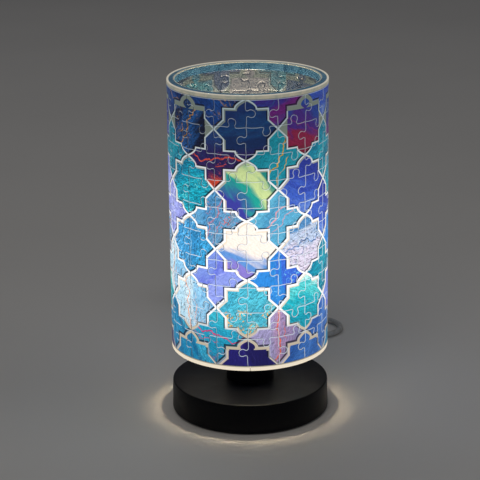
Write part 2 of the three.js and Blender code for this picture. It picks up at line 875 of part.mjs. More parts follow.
/** The moulded body of the two-pin plug, narrower towards the cord; local +X is the cord's end. */
function plugBody() {
  const half = PLUG.width / 2;
  const outline = polygon([
    [0, -4],
    [0, 4],
    [-9, 8.5],
    [-19, half - 1.5],
    [-PLUG.length + 3, half],
    [-PLUG.length, half - 3],
    [-PLUG.length, -half + 3],
    [-PLUG.length + 3, -half],
    [-19, -half + 1.5],
    [-9, -8.5],
  ]);
  return raise(outline, -PLUG.thickness / 2, PLUG.thickness / 2);
}

/** A round-nosed contact pin, pointing along -X. */
function plugPin() {
  const radius = 2;
  return lathe(
    [[0, 0], [radius, 0], [radius, PLUG.pin - 1], [radius - 0.8, PLUG.pin], [0, PLUG.pin]],
    12,
  ).rotateY(-Math.PI / 2);
}

function addPlug(lamp) {
  const plug = new THREE.Group();
  const coilTop = COIL.layers * COIL.pitch;
  plug.position.set(PLUG.rearX, PLUG.y, coilTop + GAP + PLUG.thickness / 2);
  lamp.add(plug);
  add(plug, 'plug_body', plugBody(), whitePlastic);
  const pinSpacing = 18.2;
  [-1, 1].forEach((side, i) => {
    const pin = add(plug, `plug_pin_${i + 1}`, plugPin(), nickel);
    pin.position.set(-PLUG.length, (side * pinSpacing) / 2, 0);
  });
}

function addCord(lamp) {
  add(lamp, 'cord_to_switch', cordAlong(ROUTE_TO_SWITCH), cordGrey);
  add(lamp, 'cord_to_coil', cordAlong(ROUTE_TO_COIL), cordGrey);
  add(lamp, 'cord_coil', cordCoil(), cordGrey);
  add(lamp, 'cord_to_plug', cordAlong(ROUTE_TO_PLUG), cordGrey);
}

// ---------------------------------------------------------------------------------------------
// The lamp
// ---------------------------------------------------------------------------------------------

const lamp = new THREE.Group();
addBase(lamp);
addNeckAndHolder(lamp);
addCarrierAndNut(lamp);
addBulb(lamp);
addShade(lamp);
addCordEntry(lamp);
addCord(lamp);
addSwitch(lamp);
addPlug(lamp);

export default lamp;
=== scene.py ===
"""A small table lamp: a lit drum of interlocking, printed puzzle pieces on a black disc base.

Everything is in metres, in the CAD model's own frame: +Z is up and the lamp's front faces -Y.
Angles round the lamp are counted from its front, positive to the right.
"""

import json
import math

import bmesh
import bpy
from mathutils import Matrix, Vector
from mathutils.geometry import delaunay_2d_cdt


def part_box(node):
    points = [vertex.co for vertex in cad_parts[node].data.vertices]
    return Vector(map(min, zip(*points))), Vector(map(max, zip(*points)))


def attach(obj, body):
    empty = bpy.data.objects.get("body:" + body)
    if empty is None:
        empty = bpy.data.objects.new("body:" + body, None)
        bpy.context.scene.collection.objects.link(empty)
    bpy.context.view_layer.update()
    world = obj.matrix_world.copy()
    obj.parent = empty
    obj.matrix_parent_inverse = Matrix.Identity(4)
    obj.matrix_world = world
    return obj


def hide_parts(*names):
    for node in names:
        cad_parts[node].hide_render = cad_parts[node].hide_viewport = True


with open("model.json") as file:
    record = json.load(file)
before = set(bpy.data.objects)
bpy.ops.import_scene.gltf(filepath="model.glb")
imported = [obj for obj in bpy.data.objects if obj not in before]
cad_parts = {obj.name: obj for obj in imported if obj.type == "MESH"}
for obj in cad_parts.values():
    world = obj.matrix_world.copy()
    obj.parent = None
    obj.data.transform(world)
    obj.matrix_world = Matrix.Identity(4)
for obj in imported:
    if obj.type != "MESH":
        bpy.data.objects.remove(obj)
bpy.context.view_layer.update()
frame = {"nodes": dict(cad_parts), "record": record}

MM = 0.001

# ---------------------------------------------------------------------------------------------
# Driving dimensions
# ---------------------------------------------------------------------------------------------

# Shade
RADIUS = 50.5 * MM
WALL = 2.4 * MM
COLUMNS = 16
ROWS = 10
COLUMN_ANGLE = math.tau / COLUMNS
FIRST_SEAM = math.radians(-1.65)
SHADE_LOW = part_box("puzzle_column_01")[0].z
SHADE_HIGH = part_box("puzzle_column_01")[1].z
FIRST_ROW_TOP = 65.1 * MM
ROW_HEIGHT = 16.9 * MM
RING_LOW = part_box("bottom_ring_left")[0].z
RING_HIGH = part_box("top_ring_left")[1].z
RING_INNER = 45.5 * MM
SKIRT_RADIUS = 47.7 * MM
SKIRT = 2.6 * MM

# Printed pattern: stars every 45 degrees and every 38 mm, with crosses between them
STARS_ROUND = 8
STAR_ANGLE = math.tau / STARS_ROUND
STAR_Z = 122.5 * MM
STAR_PITCH = 38.0 * MM
STAR_SQUARE = 0.345  # half the star's square body, in pitches
STAR_TIP = 0.46  # half the base of a side tip, in half squares
STAR_LOBE = 0.165  # half the width of the upper and lower lobes, in pitches
STRAP_LOW = 0.64  # half the width of the white strap low on the shade, in mm
STRAP_HIGH = 0.44  # and high on it
PATTERN_MM = 39.0  # one pitch, for the strap's width

# Cord
CORD_DIAMETER = 4 * MM
CORD_EXIT = (0.0, 75.1 * MM, 8.5 * MM)
COIL_CENTRE = (-14 * MM, 206 * MM)
COIL_OUTER = 29.4 * MM  # radius of the outermost turn
COIL_MIDDLE = 24.0 * MM  # radius at the middle of the turns
COIL_PITCH = 4.2 * MM  # from turn to turn, and from layer to layer
COIL_LAYERS = 4
LAYER_TURNS = 2.5725  # turns in one layer
COIL_TURNS = 10.29  # turns in all of them
SWITCH_CENTRE = Vector((2 * MM, 154 * MM, 0))
PLUG_REAR = Vector((-2 * MM, 198 * MM, 23.95 * MM))


# ---------------------------------------------------------------------------------------------
# Camera
# ---------------------------------------------------------------------------------------------


def make_camera():
    """A long lens that looks down on the lamp from the front."""
    place = Vector((-2.1, -1081.6, 460.6)) * MM
    aim, down, roll = (math.radians(a) for a in (0.192, 17.79, -0.587))
    data = bpy.data.cameras.new("camera")
    data.sensor_width = 36.0
    data.lens = 133.16
    camera = bpy.data.objects.new("camera", data)
    bpy.context.scene.collection.objects.link(camera)
    turned = Matrix.Rotation(aim, 4, "Z") @ Matrix.Rotation(math.pi / 2 - down, 4, "X")
    camera.matrix_world = Matrix.Translation(place) @ turned @ Matrix.Rotation(roll, 4, "Z")
    bpy.context.scene.camera = camera


# ---------------------------------------------------------------------------------------------
# Mesh helpers
# ---------------------------------------------------------------------------------------------


def new_object(name, points, faces):
    mesh = bpy.data.meshes.new(name)
    mesh.from_pydata([tuple(p) for p in points], [], faces)
    builder = bmesh.new()
    builder.from_mesh(mesh)
    bmesh.ops.recalc_face_normals(builder, faces=builder.faces)
    builder.to_mesh(mesh)
    builder.free()
    mesh.polygons.foreach_set("use_smooth", [True] * len(mesh.polygons))
    made = bpy.data.objects.new(name, mesh)
    bpy.context.scene.collection.objects.link(made)
    return made


def steady_normals(piece):
    """Flat faces stay flat in the shading, and rounded edges stay round."""
    modifier = piece.modifiers.new("normals", "WEIGHTED_NORMAL")
    modifier.weight = 80
    return piece


def soft_edges(piece, width, segments=3):
    """Small rounds on the sharp edges."""
    modifier = piece.modifiers.new("rounds", "BEVEL")
    modifier.width = width
    modifier.segments = segments
    modifier.limit_method = "ANGLE"
    modifier.angle_limit = math.radians(35)
    return steady_normals(piece)


def finish_piece(piece, body, slot, *replaced, materials=None):
    """Puts a piece on its body, says what it stands for, and gives it its slot's material."""
    if materials:
        piece.data.materials.append(materials[slot])
    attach(piece, body)
    if replaced:
        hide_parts(*replaced)
    return piece


def rounded(profile, radius, closed=True, steps=3):
    """A profile with its corners rounded, as far as the edges beside each corner allow."""
    points = [Vector(p) for p in profile]
    count = len(points)
    made = []
    for i, corner in enumerate(points):
        if not closed and i in (0, count - 1):
            made.append(corner)
            continue
        before = points[i - 1] - corner
        after = points[(i + 1) % count] - corner
        reach = min(radius, 0.45 * before.length, 0.45 * after.length)
        start = corner + before.normalized() * reach
        end = corner + after.normalized() * reach
        for step in range(steps + 1):
            t = step / steps
            made.append(start.lerp(corner, t).lerp(corner.lerp(end, t), t))
    return made


def spin(name, profile, steps=128, start=0.0, sweep=math.tau, closed=True):
    """A profile of (radius, height) points turned about Z, whole or in part."""
    whole = abs(sweep - math.tau) < 1e-6
    stations = steps if whole else steps + 1
    points = []
    index = []
    for radius, height in profile:
        if radius < 1e-7:
            index.append([len(points)] * stations)
            points.append((0, 0, height))
            continue
        index.append(list(range(len(points), len(points) + stations)))
        for i in range(stations):
            angle = start + sweep * i / steps
            points.append((radius * math.sin(angle), -radius * math.cos(angle), height))
    faces = []
    rows = len(profile)
    for j in range(rows if closed else rows - 1):
        low, high = index[j], index[(j + 1) % rows]
        for i in range(steps):
            k = (i + 1) % stations
            corners = dict.fromkeys((low[i], low[k], high[k], high[i]))
            if len(corners) > 2:
                faces.append(tuple(corners))
    if not whole and closed:
        faces.append(tuple(row[0] for row in index))
        faces.append(tuple(row[-1] for row in index))
    return new_object(name, points, faces)


def loft(name, sections):
    """A skin over sections with equal numbers of points, closed at both ends."""
    count = len(sections[0])
    points = [p for section in sections for p in section]
    faces = [tuple(range(count)), tuple(range(len(points) - count, len(points)))]
    for j in range(len(sections) - 1):
        for i in range(count):
            k = (i + 1) % count
            a, b = j * count, (j + 1) * count
            faces.append((a + i, a + k, b + k, b + i))
    return new_object(name, points, faces)


def rounded_rectangle(length, width, corner, steps=8):
    """Points round a rectangle with round corners, centred on the origin."""
    points = []
    for quarter, (side_x, side_y) in enumerate([(1, 1), (-1, 1), (-1, -1), (1, -1)]):
        x = side_x * (length / 2 - corner)
        y = side_y * (width / 2 - corner)
        for step in range(steps + 1):
            angle = (quarter + step / steps) * math.pi / 2
            points.append((x + corner * math.cos(angle), y + corner * math.sin(angle)))
    return points


def carve(piece, cutter):
    """Takes the cutter's shape out of the piece, and removes the cutter."""
    modifier = piece.modifiers.new("carve", "BOOLEAN")
    modifier.operation = "DIFFERENCE"
    modifier.solver = "EXACT"
    modifier.object = cutter
    shown = piece.evaluated_get(bpy.context.evaluated_depsgraph_get())
    mesh = bpy.data.meshes.new_from_object(shown)
    piece.modifiers.remove(modifier)
    piece.data = mesh
    bpy.data.objects.remove(cutter)


# ---------------------------------------------------------------------------------------------
# Material helpers
# ---------------------------------------------------------------------------------------------


def colour(text):
    """The linear colour of an sRGB value such as "ff8800"."""
    parts = [int(text[i : i + 2], 16) / 255 for i in (0, 2, 4)]
    linear = [p / 12.92 if p <= 0.04045 else ((p + 0.055) / 1.055) ** 2.4 for p in parts]
    return (*linear, 1.0)


class Graph:
    """Builds one material's nodes. A value is a socket, a number or a colour."""

    def __init__(self, name):
        self.material = bpy.data.materials.new(name)
        self.material.use_nodes = True
        self.tree = self.material.node_tree
        self.tree.nodes.clear()
        self.shader = self.node("ShaderNodeBsdfPrincipled")
        output = self.node("ShaderNodeOutputMaterial")
        self.tree.links.new(self.shader.outputs["BSDF"], output.inputs["Surface"])

    def node(self, kind, **settings):
        made = self.tree.nodes.new(kind)
        for key, value in settings.items():
            setattr(made, key, value)
        return made

    def feed(self, socket, value):
        if isinstance(value, bpy.types.NodeSocket):
            self.tree.links.new(value, socket)
        else:
            socket.default_value = value

    def set(self, **values):
        """Sets the shader's sockets, such as Base_Color or Roughness."""
        for key, value in values.items():
            self.feed(self.shader.inputs[key.replace("_", " ")], value)
        return self

    def math(self, operation, *values):
        made = self.node("ShaderNodeMath", operation=operation)
        for socket, value in zip(made.inputs, values):
            self.feed(socket, value)
        return made.outputs[0]

    def add(self, a, b):
        return self.math("ADD", a, b)

    def times(self, a, b):
        return self.math("MULTIPLY", a, b)

    def minus(self, a, b):
        return self.math("SUBTRACT", a, b)

    def divided(self, a, b):
        return self.math("DIVIDE", a, b)

    def larger(self, a, b):
        return self.math("MAXIMUM", a, b)

    def smaller(self, a, b):
        return self.math("MINIMUM", a, b)

    def unsigned(self, a):
        return self.math("ABSOLUTE", a)

    def blend(self, amount, a, b, kind="MIX"):
        """Colour a, with that amount of colour b."""
        made = self.node("ShaderNodeMix", data_type="RGBA", blend_type=kind)
        for socket, value in zip((made.inputs[0], made.inputs[6], made.inputs[7]), (amount, a, b)):
            self.feed(socket, value)
        return made.outputs[2]

    def grey(self, value):
        """A grey of that brightness."""
        made = self.node("ShaderNodeCombineColor")
        for socket in made.inputs:
            self.feed(socket, value)
        return made.outputs[0]

    def choose(self, amount, a, b):
        """Number a, or number b where the amount is 1."""
        made = self.node("ShaderNodeMix", data_type="FLOAT")
        for socket, value in zip((made.inputs[0], made.inputs[2], made.inputs[3]), (amount, a, b)):
            self.feed(socket, value)
        return made.outputs[0]

    def step(self, value, start, end, low=0.0, high=1.0):
        """Rises smoothly from low at start to high at end."""
        made = self.node("ShaderNodeMapRange", interpolation_type="SMOOTHSTEP")
        for socket, given in zip(made.inputs, (value, start, end, low, high)):
            self.feed(socket, given)
        return made.outputs[0]

    def vector(self, x, y, z):
        made = self.node("ShaderNodeCombineXYZ")
        for socket, value in zip(made.inputs, (x, y, z)):
            self.feed(socket, value)
        return made.outputs[0]

    def place(self):
        """The point's X, Y and Z on the object, in metres."""
        texture = self.node("ShaderNodeTexCoord")
        made = self.node("ShaderNodeSeparateXYZ")
        self.feed(made.inputs[0], texture.outputs["Object"])
        return made.outputs

    def point(self):
        return self.node("ShaderNodeTexCoord").outputs["Object"]

    def noise(self, vector, scale, detail=2.0, roughness=0.5, distortion=0.0):
        made = self.node("ShaderNodeTexNoise")
        self.feed(made.inputs["Vector"], vector)
        made.inputs["Scale"].default_value = scale
        made.inputs["Detail"].default_value = detail
        made.inputs["Roughness"].default_value = roughness
        made.inputs["Distortion"].default_value = distortion
        return made.outputs["Fac"]

    def ramp(self, value, stops, interpolation="LINEAR"):
        """A colour for each value, from (position, colour) stops."""
        made = self.node("ShaderNodeValToRGB")
        made.color_ramp.interpolation = interpolation
        elements = made.color_ramp.elements
        while len(elements) < len(stops):
            elements.new(1.0)
        for element, (position, shade) in zip(elements, stops):
            element.position = position
        for element, (position, shade) in zip(elements, stops):
            element.color = shade
        self.feed(made.inputs[0], value)
        return made.outputs["Color"]

    def bump(self, height, distance, strength=0.5):
        made = self.node("ShaderNodeBump")
        made.inputs["Strength"].default_value = strength
        made.inputs["Distance"].default_value = distance
        self.feed(made.inputs["Height"], height)
        return self.set(Normal=made.outputs[0])


# ---------------------------------------------------------------------------------------------
# The printed pattern
# ---------------------------------------------------------------------------------------------

# Each paint has four colours that follow each other across a tile and the colour of its
# line and specks; then the direction in which the colours follow each other, in degrees, and how
# strong its line, its specks and its brush marks are.
PAINTS = {
    "night_gold": ("0c1838", "1c4f8c", "0f2450", "3a6fa8", "c08a34", 150, 0.9, 0.4, 1.5),
    "navy": ("12306a", "133f76", "0e2c5e", "241c5c", "1f6a90", -75, 0.2, 0.0, 0.3),
    "crimson": ("26489e", "4a2a86", "8c2048", "761c34", "c03050", -115, 0.2, 0.0, 0.4),
    "teal": ("0c7ea0", "12a0b6", "1092aa", "2ab4c4", "6fe2e4", -60, 0.2, 0.8, 1.3),
    "aurora": ("3a3c9e", "1fa698", "d4e8a0", "1f8f86", "b8f060", 40, 0.0, 0.0, 0.15),
    "royal": ("2a3a9c", "2f46ac", "3a5cc0", "5f82d0", "7fa4e6", -110, 0.1, 0.1, 0.5),
    "streaked_blue": ("3a9cd0", "2f86bc", "3f9cd4", "2a78b0", "b4e6f6", 170, 0.3, 0.5, 1.2),
    "cream": ("fff2e6", "fff0e4", "5f94d8", "8a7cd0", "ffffff", -118, 0.0, 0.0, 0.2),
    "pearl": ("4f86b8", "b4c4de", "d4cce0", "dcd0e4", "3f74b0", -70, 0.8, 0.5, 0.95),
    "frost": ("b4dcf0", "c8e4f2", "8cc4e6", "6fb0dc", "f2a070", 8, 0.8, 0.3, 0.85),
    "turquoise_gold": ("3fa8c4", "50bcd2", "48b0c8", "66c4d0", "f4b23c", -30, 0.0, 1.8, 0.9),
    "lagoon": ("109ab0", "1cacbc", "4cc8cc", "b4f0ea", "d8fff8", 85, 0.1, 0.2, 0.7),
    "bright_sea": ("0f80b4", "1292c4", "0c76a8", "2fa8d0", "7fdcf2", 45, 0.2, 0.3, 0.7),
    "indigo": ("201c70", "241e78", "1a165e", "2a2684", "5a52b4", 10, 0.2, 0.1, 0.4),
    "denim": ("2c60b0", "3f78c8", "3068b8", "4a84cc", "8fb4ea", -30, 0.2, 0.1, 0.6),
    "sapphire_gold": ("163c80", "1a4a90", "12306a", "235a9c", "c8983c", 60, 0.4, 0.5, 0.9),
    "plum_blue": ("1c4494", "3c2c88", "6a2078", "244a9a", "1f8fb0", -60, 0.2, 0.0, 0.5),
    "ember": ("22407a", "261f5c", "301f58", "c4442e", "ee5c36", -95, 0.8, 0.3, 0.6),
    "teal_gold": ("0f8a9e", "1b98ac", "148ea4", "2aa6b4", "dca628", -20, 1.1, 0.0, 0.5),
    "blue_ember": ("5a9cc8", "4a8cbc", "5f98c0", "7a90a8", "dc5c3a", -20, 0.5, 0.9, 0.8),
    "sky_rose": ("62b4d4", "4a98c0", "58a8cc", "6fb8d0", "e4a0a8", -40, 0.9, 0.0, 0.5),
    "periwinkle": ("7a92e0", "6a78dc", "8c9cea", "b4b8f4", "ffffff", -35, 0.1, 0.1, 0.4),
    "azure": ("2f8ade", "2c86d8", "3a68d4", "3a4cc8", "6fc0f0", 10, 0.1, 0.9, 0.4),
    "cyan_magenta": ("34b4cc", "20a4c8", "1698c0", "1088b4", "d62a6c", -95, 1.0, 0.3, 0.6),
    "mauve": ("a49cc8", "b292ba", "9a88b4", "8c88b8", "ee6a3a", 0, 1.1, 0.2, 0.6),
    "lilac": ("8a90da", "a0a8ea", "8c98e0", "7880cc", "f0f2ff", 175, 0.3, 0.2, 0.9),
    "deep_teal": ("0f86a4", "1298ae", "0c7896", "1a90ac", "4fd0d8", -40, 0.2, 0.6, 0.8),
    "pearl_grey": ("a8a2aa", "b8b0b4", "a09aa6", "b0a8b0", "e4dcdc", 70, 0.3, 0.1, 0.3),
}
PAINT_NAMES = list(PAINTS)

# Which paint each star has, from the top row down, and from the front star round to the right.
STAR_PLAN = [
    "navy crimson plum_blue sapphire_gold pearl_grey teal royal night_gold",
    "aurora royal deep_teal lilac pearl_grey cyan_magenta periwinkle teal",
    "cream pearl azure streaked_blue ember frost blue_ember streaked_blue",
    "turquoise_gold lagoon periwinkle sky_rose azure cream lagoon frost",
    "indigo denim bright_sea royal mauve denim indigo bright_sea",
]

# The same for the crosses: the first of a row is just right of the front star.
CROSS_PLAN = [
    "plum_blue royal night_gold deep_teal sapphire_gold navy sapphire_gold sapphire_gold",
    "teal_gold deep_teal royal teal_gold navy ember deep_teal ember",
    "sky_rose royal teal periwinkle aurora azure lilac blue_ember",
    "azure deep_teal lilac turquoise_gold denim teal frost periwinkle",
    "mauve denim cyan_magenta bright_sea streaked_blue azure bright_sea cyan_magenta",
]
RAMP_STOPS = 32  # the most stops a colour ramp holds


def look_up(g, index, shades):
    """The shade with that index, from ramps that hold up to 32 each."""
    found = None
    for first in range(0, len(shades), RAMP_STOPS):
        part = shades[first : first + RAMP_STOPS]
        stops = [(i / RAMP_STOPS, shade) for i, shade in enumerate(part)]
        position = g.divided(g.add(index, 0.5 - first), RAMP_STOPS)
        picked = g.ramp(position, stops, "CONSTANT")
        if found is None:
            found = picked
        else:
            found = g.blend(g.math("GREATER_THAN", index, first - 0.5), found, picked)
    return found


def pattern_place(g):
    """How far round and how far up the pattern a point is, in star pitches, and its height."""
    x, y, z = g.place()
    angle = g.math("ARCTAN2", x, g.times(y, -1.0))
    across = g.divided(g.add(angle, -FIRST_SEAM), STAR_ANGLE)
    up = g.divided(g.add(z, -STAR_Z), STAR_PITCH)
    return across, up, z


def from_value(g, socket, value):
    """The distance of a number from a fixed value."""
    return g.unsigned(g.add(socket, -value))


def from_nearest(g, value):
    """The distance from the nearest whole number."""
    return g.unsigned(g.minus(value, g.math("ROUND", value)))


def star_depth(g, across, up):
    """How deep inside its star a point is, in mm; less than 0 outside it."""
    a = from_nearest(g, across)
    b = from_nearest(g, up)
    square = g.smaller(g.minus(STAR_SQUARE, a), g.minus(STAR_SQUARE, b))
    tip_base = STAR_TIP * STAR_SQUARE
    tip_length = 0.5 - STAR_SQUARE
    slope = tip_base / tip_length
    edge = g.minus(g.times(g.minus(0.5, a), slope), b)
    edge = g.divided(edge, math.hypot(1, slope))
    tip = g.smaller(edge, g.minus(tip_base, b))
    t = g.divided(g.add(b, -STAR_SQUARE), tip_length)
    square_of_t = g.times(t, t)
    width = g.times(g.minus(1.0, square_of_t), STAR_LOBE)
    steepness = (2 * STAR_LOBE / tip_length) ** 2
    length = g.math("SQRT", g.add(g.times(square_of_t, steepness), 1.0))
    lobe = g.divided(g.minus(width, a), length)
    return g.times(g.larger(g.larger(square, tip), lobe), PATTERN_MM)


def shifted_depth(g, across, up, right_mm, up_mm):
    """The depth at a point a little to the side, for the strap's light and dark edges."""
    return star_depth(g, g.add(across, right_mm / PATTERN_MM), g.add(up, up_mm / PATTERN_MM))


def tile_of(g, across, up, inside):
    """The tile's index in the two plans, and the point's place in the tile, in pitches."""
    column = g.choose(inside, g.math("FLOOR", across), g.math("ROUND", across))
    level = g.choose(inside, g.math("FLOOR", up), g.math("ROUND", up))
    row = g.minus(len(STAR_PLAN) // 2, level)
    row = g.smaller(g.larger(row, 0.0), len(STAR_PLAN) - 1)
    wrapped = g.math("FLOORED_MODULO", column, STARS_ROUND)
    index = g.add(g.times(row, STARS_ROUND), wrapped)
    index = g.add(index, g.times(g.minus(1.0, inside), STARS_ROUND * len(STAR_PLAN)))
    centre = g.choose(inside, 0.5, 0.0)
    local_x = g.minus(g.minus(across, column), centre)
    local_y = g.minus(g.minus(up, level), centre)
    return index, local_x, local_y


def turned(g, x, y, angle):
    """Coordinates x and y in axes that are turned by an angle."""
    cosine = g.math("COSINE", angle)
    sine = g.math("SINE", angle)
    along = g.add(g.times(x, cosine), g.times(y, sine))
    across = g.minus(g.times(y, cosine), g.times(x, sine))
    return along, across


def paint_traits(g, paint):
    """The paint's direction in radians, and the strengths of its line, specks and brush marks."""
    most = 2.0
    rows = []
    for direction, line, specks, brush in (p[5:] for p in PAINTS.values()):
        rows.append(((direction % 360) / 360, line / most, specks / most, 1.0))
    split = g.node("ShaderNodeSeparateColor")
    g.feed(split.inputs[0], look_up(g, paint, rows))
    flow, line, specks = split.outputs
    brush = look_up(g, paint, [(p[8] / most, p[8] / most, p[8] / most, 1.0) for p in PAINTS.values()])
    return g.times(flow, math.tau), g.times(line, most), g.times(specks, most), g.times(brush, most)


def brush_ridges(g, scaled):
    """Thick paint in low light: each ridge is bright on one side and dark on the other."""
    spot = scaled(17.0, 8.0)
    moved = g.node("ShaderNodeVectorMath", operation="ADD")
    g.feed(moved.inputs[0], spot)
    moved.inputs[1].default_value = (0.16, -0.16, 0.0)
    here = g.noise(spot, 1.0, 2.0, 0.6, 1.6)
    beside = g.noise(moved.outputs[0], 1.0, 2.0, 0.6, 1.6)
    return g.times(g.minus(here, beside), 2.3)


def marbled_paint(g, index, local_x, local_y):
    """The paint inside a tile: drifting colours, brush marks, a wandering line and specks."""
    plans = [word for row in STAR_PLAN + CROSS_PLAN for word in row.split()]
    numbers = [PAINT_NAMES.index(word) / RAMP_STOPS for word in plans]
    paint = look_up(g, index, [(n, n, n, 1.0) for n in numbers])
    paint = g.math("ROUND", g.times(paint, RAMP_STOPS))
    shades = [look_up(g, paint, [colour(p[i]) for p in PAINTS.values()]) for i in range(5)]
    first, second, third, fourth, accent = shades
    flow, line, specks, brush = paint_traits(g, paint)
    along, aside = turned(g, local_x, local_y, flow)
    seed = g.times(index, 7.31)

    def scaled(along_scale, aside_scale):
        return g.vector(g.times(along, along_scale), g.times(aside, aside_scale), seed)

    # Four colours in a row across the tile, their borders drawn out and bent.
    cloud = g.add(g.noise(scaled(3.4, 1.5), 1.0, 2.5, 0.5, 0.8), -0.5)
    unrest = g.add(0.65, g.times(brush, 0.45))
    field = g.add(g.add(0.5, g.times(along, 1.05)), g.times(cloud, unrest))
    paint_colour = g.blend(g.step(field, 0.2, 0.42), first, second)
    paint_colour = g.blend(g.step(field, 0.48, 0.64), paint_colour, third)
    paint_colour = g.blend(g.step(field, 0.74, 0.92), paint_colour, fourth)

    # A fine line that wanders across the tile, and broken pieces of a second one.
    wander = g.add(g.noise(scaled(0.8, 2.6), 1.0, 3.0, 0.55), -0.5)
    offset = g.add(g.add(along, g.times(wander, 0.55)), 0.02)
    main_line = g.step(g.unsigned(offset), 0.005, 0.017, 1.0, 0.0)
    second_line = g.step(g.unsigned(g.add(offset, -0.13)), 0.003, 0.012, 0.8, 0.0)
    broken = g.step(g.noise(scaled(2.0, 5.0), 1.0, 1.0), 0.45, 0.55)
    lines = g.larger(main_line, g.times(second_line, broken))
    lines = g.smaller(g.times(lines, line), 1.0)
    paint_colour = g.blend(lines, paint_colour, accent)

    # Specks in drifts, and a crackle of light and dark.
    speck = g.step(g.noise(scaled(30.0, 24.0), 1.0, 2.0, 0.6), 0.56, 0.62)
    gathered = g.add(g.noise(scaled(4.5, 3.5), 1.0, 1.0), g.times(along, 0.35))
    drifts = g.step(gathered, 0.5, 0.62)
    speck = g.smaller(g.times(g.times(speck, drifts), specks), 0.9)
    paint_colour = g.blend(speck, paint_colour, accent)
    marks = g.add(g.noise(scaled(42.0, 9.0), 1.0, 3.0, 0.6, 0.5), -0.5)
    grain = g.add(g.noise(scaled(38.0, 38.0), 1.0, 3.0, 0.7, 1.2), -0.5)
    relief = g.add(g.times(marks, 1.3), g.times(grain, 1.7))
    relief = g.add(1.0, g.times(brush, g.add(relief, brush_ridges(g, scaled))))
    return g.blend(1.0, paint_colour, g.grey(g.larger(relief, 0.25)), "MULTIPLY")


def broad_bands(g, across, up, height, depth):
    """Where the outer rows of stars have a broad plain band along their shelves and tips.

    Also gives the shelves of those rows, and how far a point is in the upper one.
    """
    low = g.step(height, 68 * MM, 74 * MM, 1.0, 0.0)
    beside_front = g.math("GREATER_THAN", g.unsigned(across), 0.5)
    high = g.times(g.step(height, 178 * MM, 181 * MM), beside_front)
    width = g.choose(high, 1.9, 2.9)
    above = g.minus(up, g.math("ROUND", up))
    level = g.choose(high, from_nearest(g, up), above)
    shelf = g.math("GREATER_THAN", level, STAR_SQUARE - 2.9 / PATTERN_MM)
    tips = g.times(g.math("GREATER_THAN", from_nearest(g, across), STAR_SQUARE), high)
    along_edge = g.times(g.math("LESS_THAN", depth, width), shelf)
    rows = g.larger(low, high)
    inside = g.math("GREATER_THAN", depth, 0.0)
    band = g.times(g.times(g.larger(along_edge, tips), rows), inside)
    return band, g.times(shelf, rows), high


def printed_colour(g):
    """The whole print at a point: paint, and straps with their relief; and the height."""
    across, up, height = pattern_place(g)
    depth = star_depth(g, across, up)
    inside = g.math("GREATER_THAN", depth, 0.0)
    index, local_x, local_y = tile_of(g, across, up, inside)
    print_colour = marbled_paint(g, index, local_x, local_y)

    upper = g.step(height, 120 * MM, 200 * MM)
    half = g.choose(upper, STRAP_LOW, STRAP_HIGH)
    dark_edge = g.unsigned(shifted_depth(g, across, up, 0.75, -0.75))
    dark = g.step(g.minus(dark_edge, half), -0.15, 0.3, 0.88, 0.0)
    print_colour = g.blend(dark, print_colour, colour("060a1c"))

    light_edge = g.unsigned(shifted_depth(g, across, up, -0.8, 0.8))
    light = g.step(g.minus(light_edge, half), -0.1, 0.2, 0.85, 0.0)
    band, shelf, high = broad_bands(g, across, up, height, depth)
    light = g.times(g.times(light, inside), g.minus(1.0, high))
    cream = g.blend(upper, colour("f3dfc6"), colour("8f9c92"))
    print_colour = g.blend(light, print_colour, cream)

    band_colour = g.blend(upper, colour("d6c8b0"), colour("879389"))
    print_colour = g.blend(band, print_colour, band_colour)

    from_edge = g.minus(g.unsigned(depth), half)
    strap = g.step(from_edge, -0.12, 0.12, 1.0, 0.0)
    strap_colour = g.blend(g.step(height, 150 * MM, 215 * MM), colour("ffffff"), colour("bcd0d4"))
    strap = g.times(strap, g.minus(1.0, g.times(shelf, 0.85)))
    strap = g.times(strap, g.step(height, 60 * MM, 74 * MM, 0.3, 1.0))
    return g.blend(strap, print_colour, strap_colour), height


def glow_at(g, height):
    """How bright the shade is at a height: most beside the bulb, least near the top."""
    above = g.step(height, 135 * MM, 205 * MM, 1.12, 0.5)
    below = g.step(height, 45 * MM, 96 * MM, 0.6, 1.0)
    return g.times(above, below)


def lit_plastic(name, base_share, strength, roughness, treat=None, coat=(0.35, 0.12)):
    """Printed translucent plastic, lit from inside the shade; treat changes its colour.

    The coat is the weight and the roughness of its gloss.
    """
    g = Graph(name)
    shade, height = printed_colour(g)
    if treat:
        shade = treat(g, shade)
    base = g.blend(base_share, colour("000000"), shade)
    g.set(Base_Color=base, Emission_Color=shade, Roughness=roughness)
    g.set(Emission_Strength=g.times(glow_at(g, height), strength))
    g.set(Coat_Weight=coat[0], Coat_Roughness=coat[1])
    g.material.cycles.emission_sampling = "NONE"
    return g.material


def seam_painted_light(g, shade):
    """A seam's edges, with painted light: those that face up or left get a painted highlight, weaker
    higher up, and the others painted shade.
    """
    x, y, z = g.place()
    radius = g.math("SQRT", g.add(g.times(x, x), g.times(y, y)))
    normal = g.node("ShaderNodeSeparateXYZ")
    g.feed(normal.inputs[0], g.node("ShaderNodeTexCoord").outputs["Normal"])
    nx, ny, nz = normal.outputs
    to_right = g.divided(g.minus(g.times(ny, x), g.times(nx, y)), radius)
    # Painted highlight on edges that face up or left, painted shade on the rest.
    lit = g.step(g.minus(nz, to_right), -0.25, 0.25)
    pale = g.blend(g.step(z, 120 * MM, 200 * MM, 0.72, 0.42), shade, colour("e4f0fa"))
    dark = g.blend(0.66, shade, colour("050a18"))
    return g.blend(lit, dark, pale)


def seen_from_inside(g, shade):
    """The print's dull back, with a grey haze over it."""
    return g.blend(0.42, shade, colour("6f8694"))


# ---------------------------------------------------------------------------------------------
# Other materials
# ---------------------------------------------------------------------------------------------


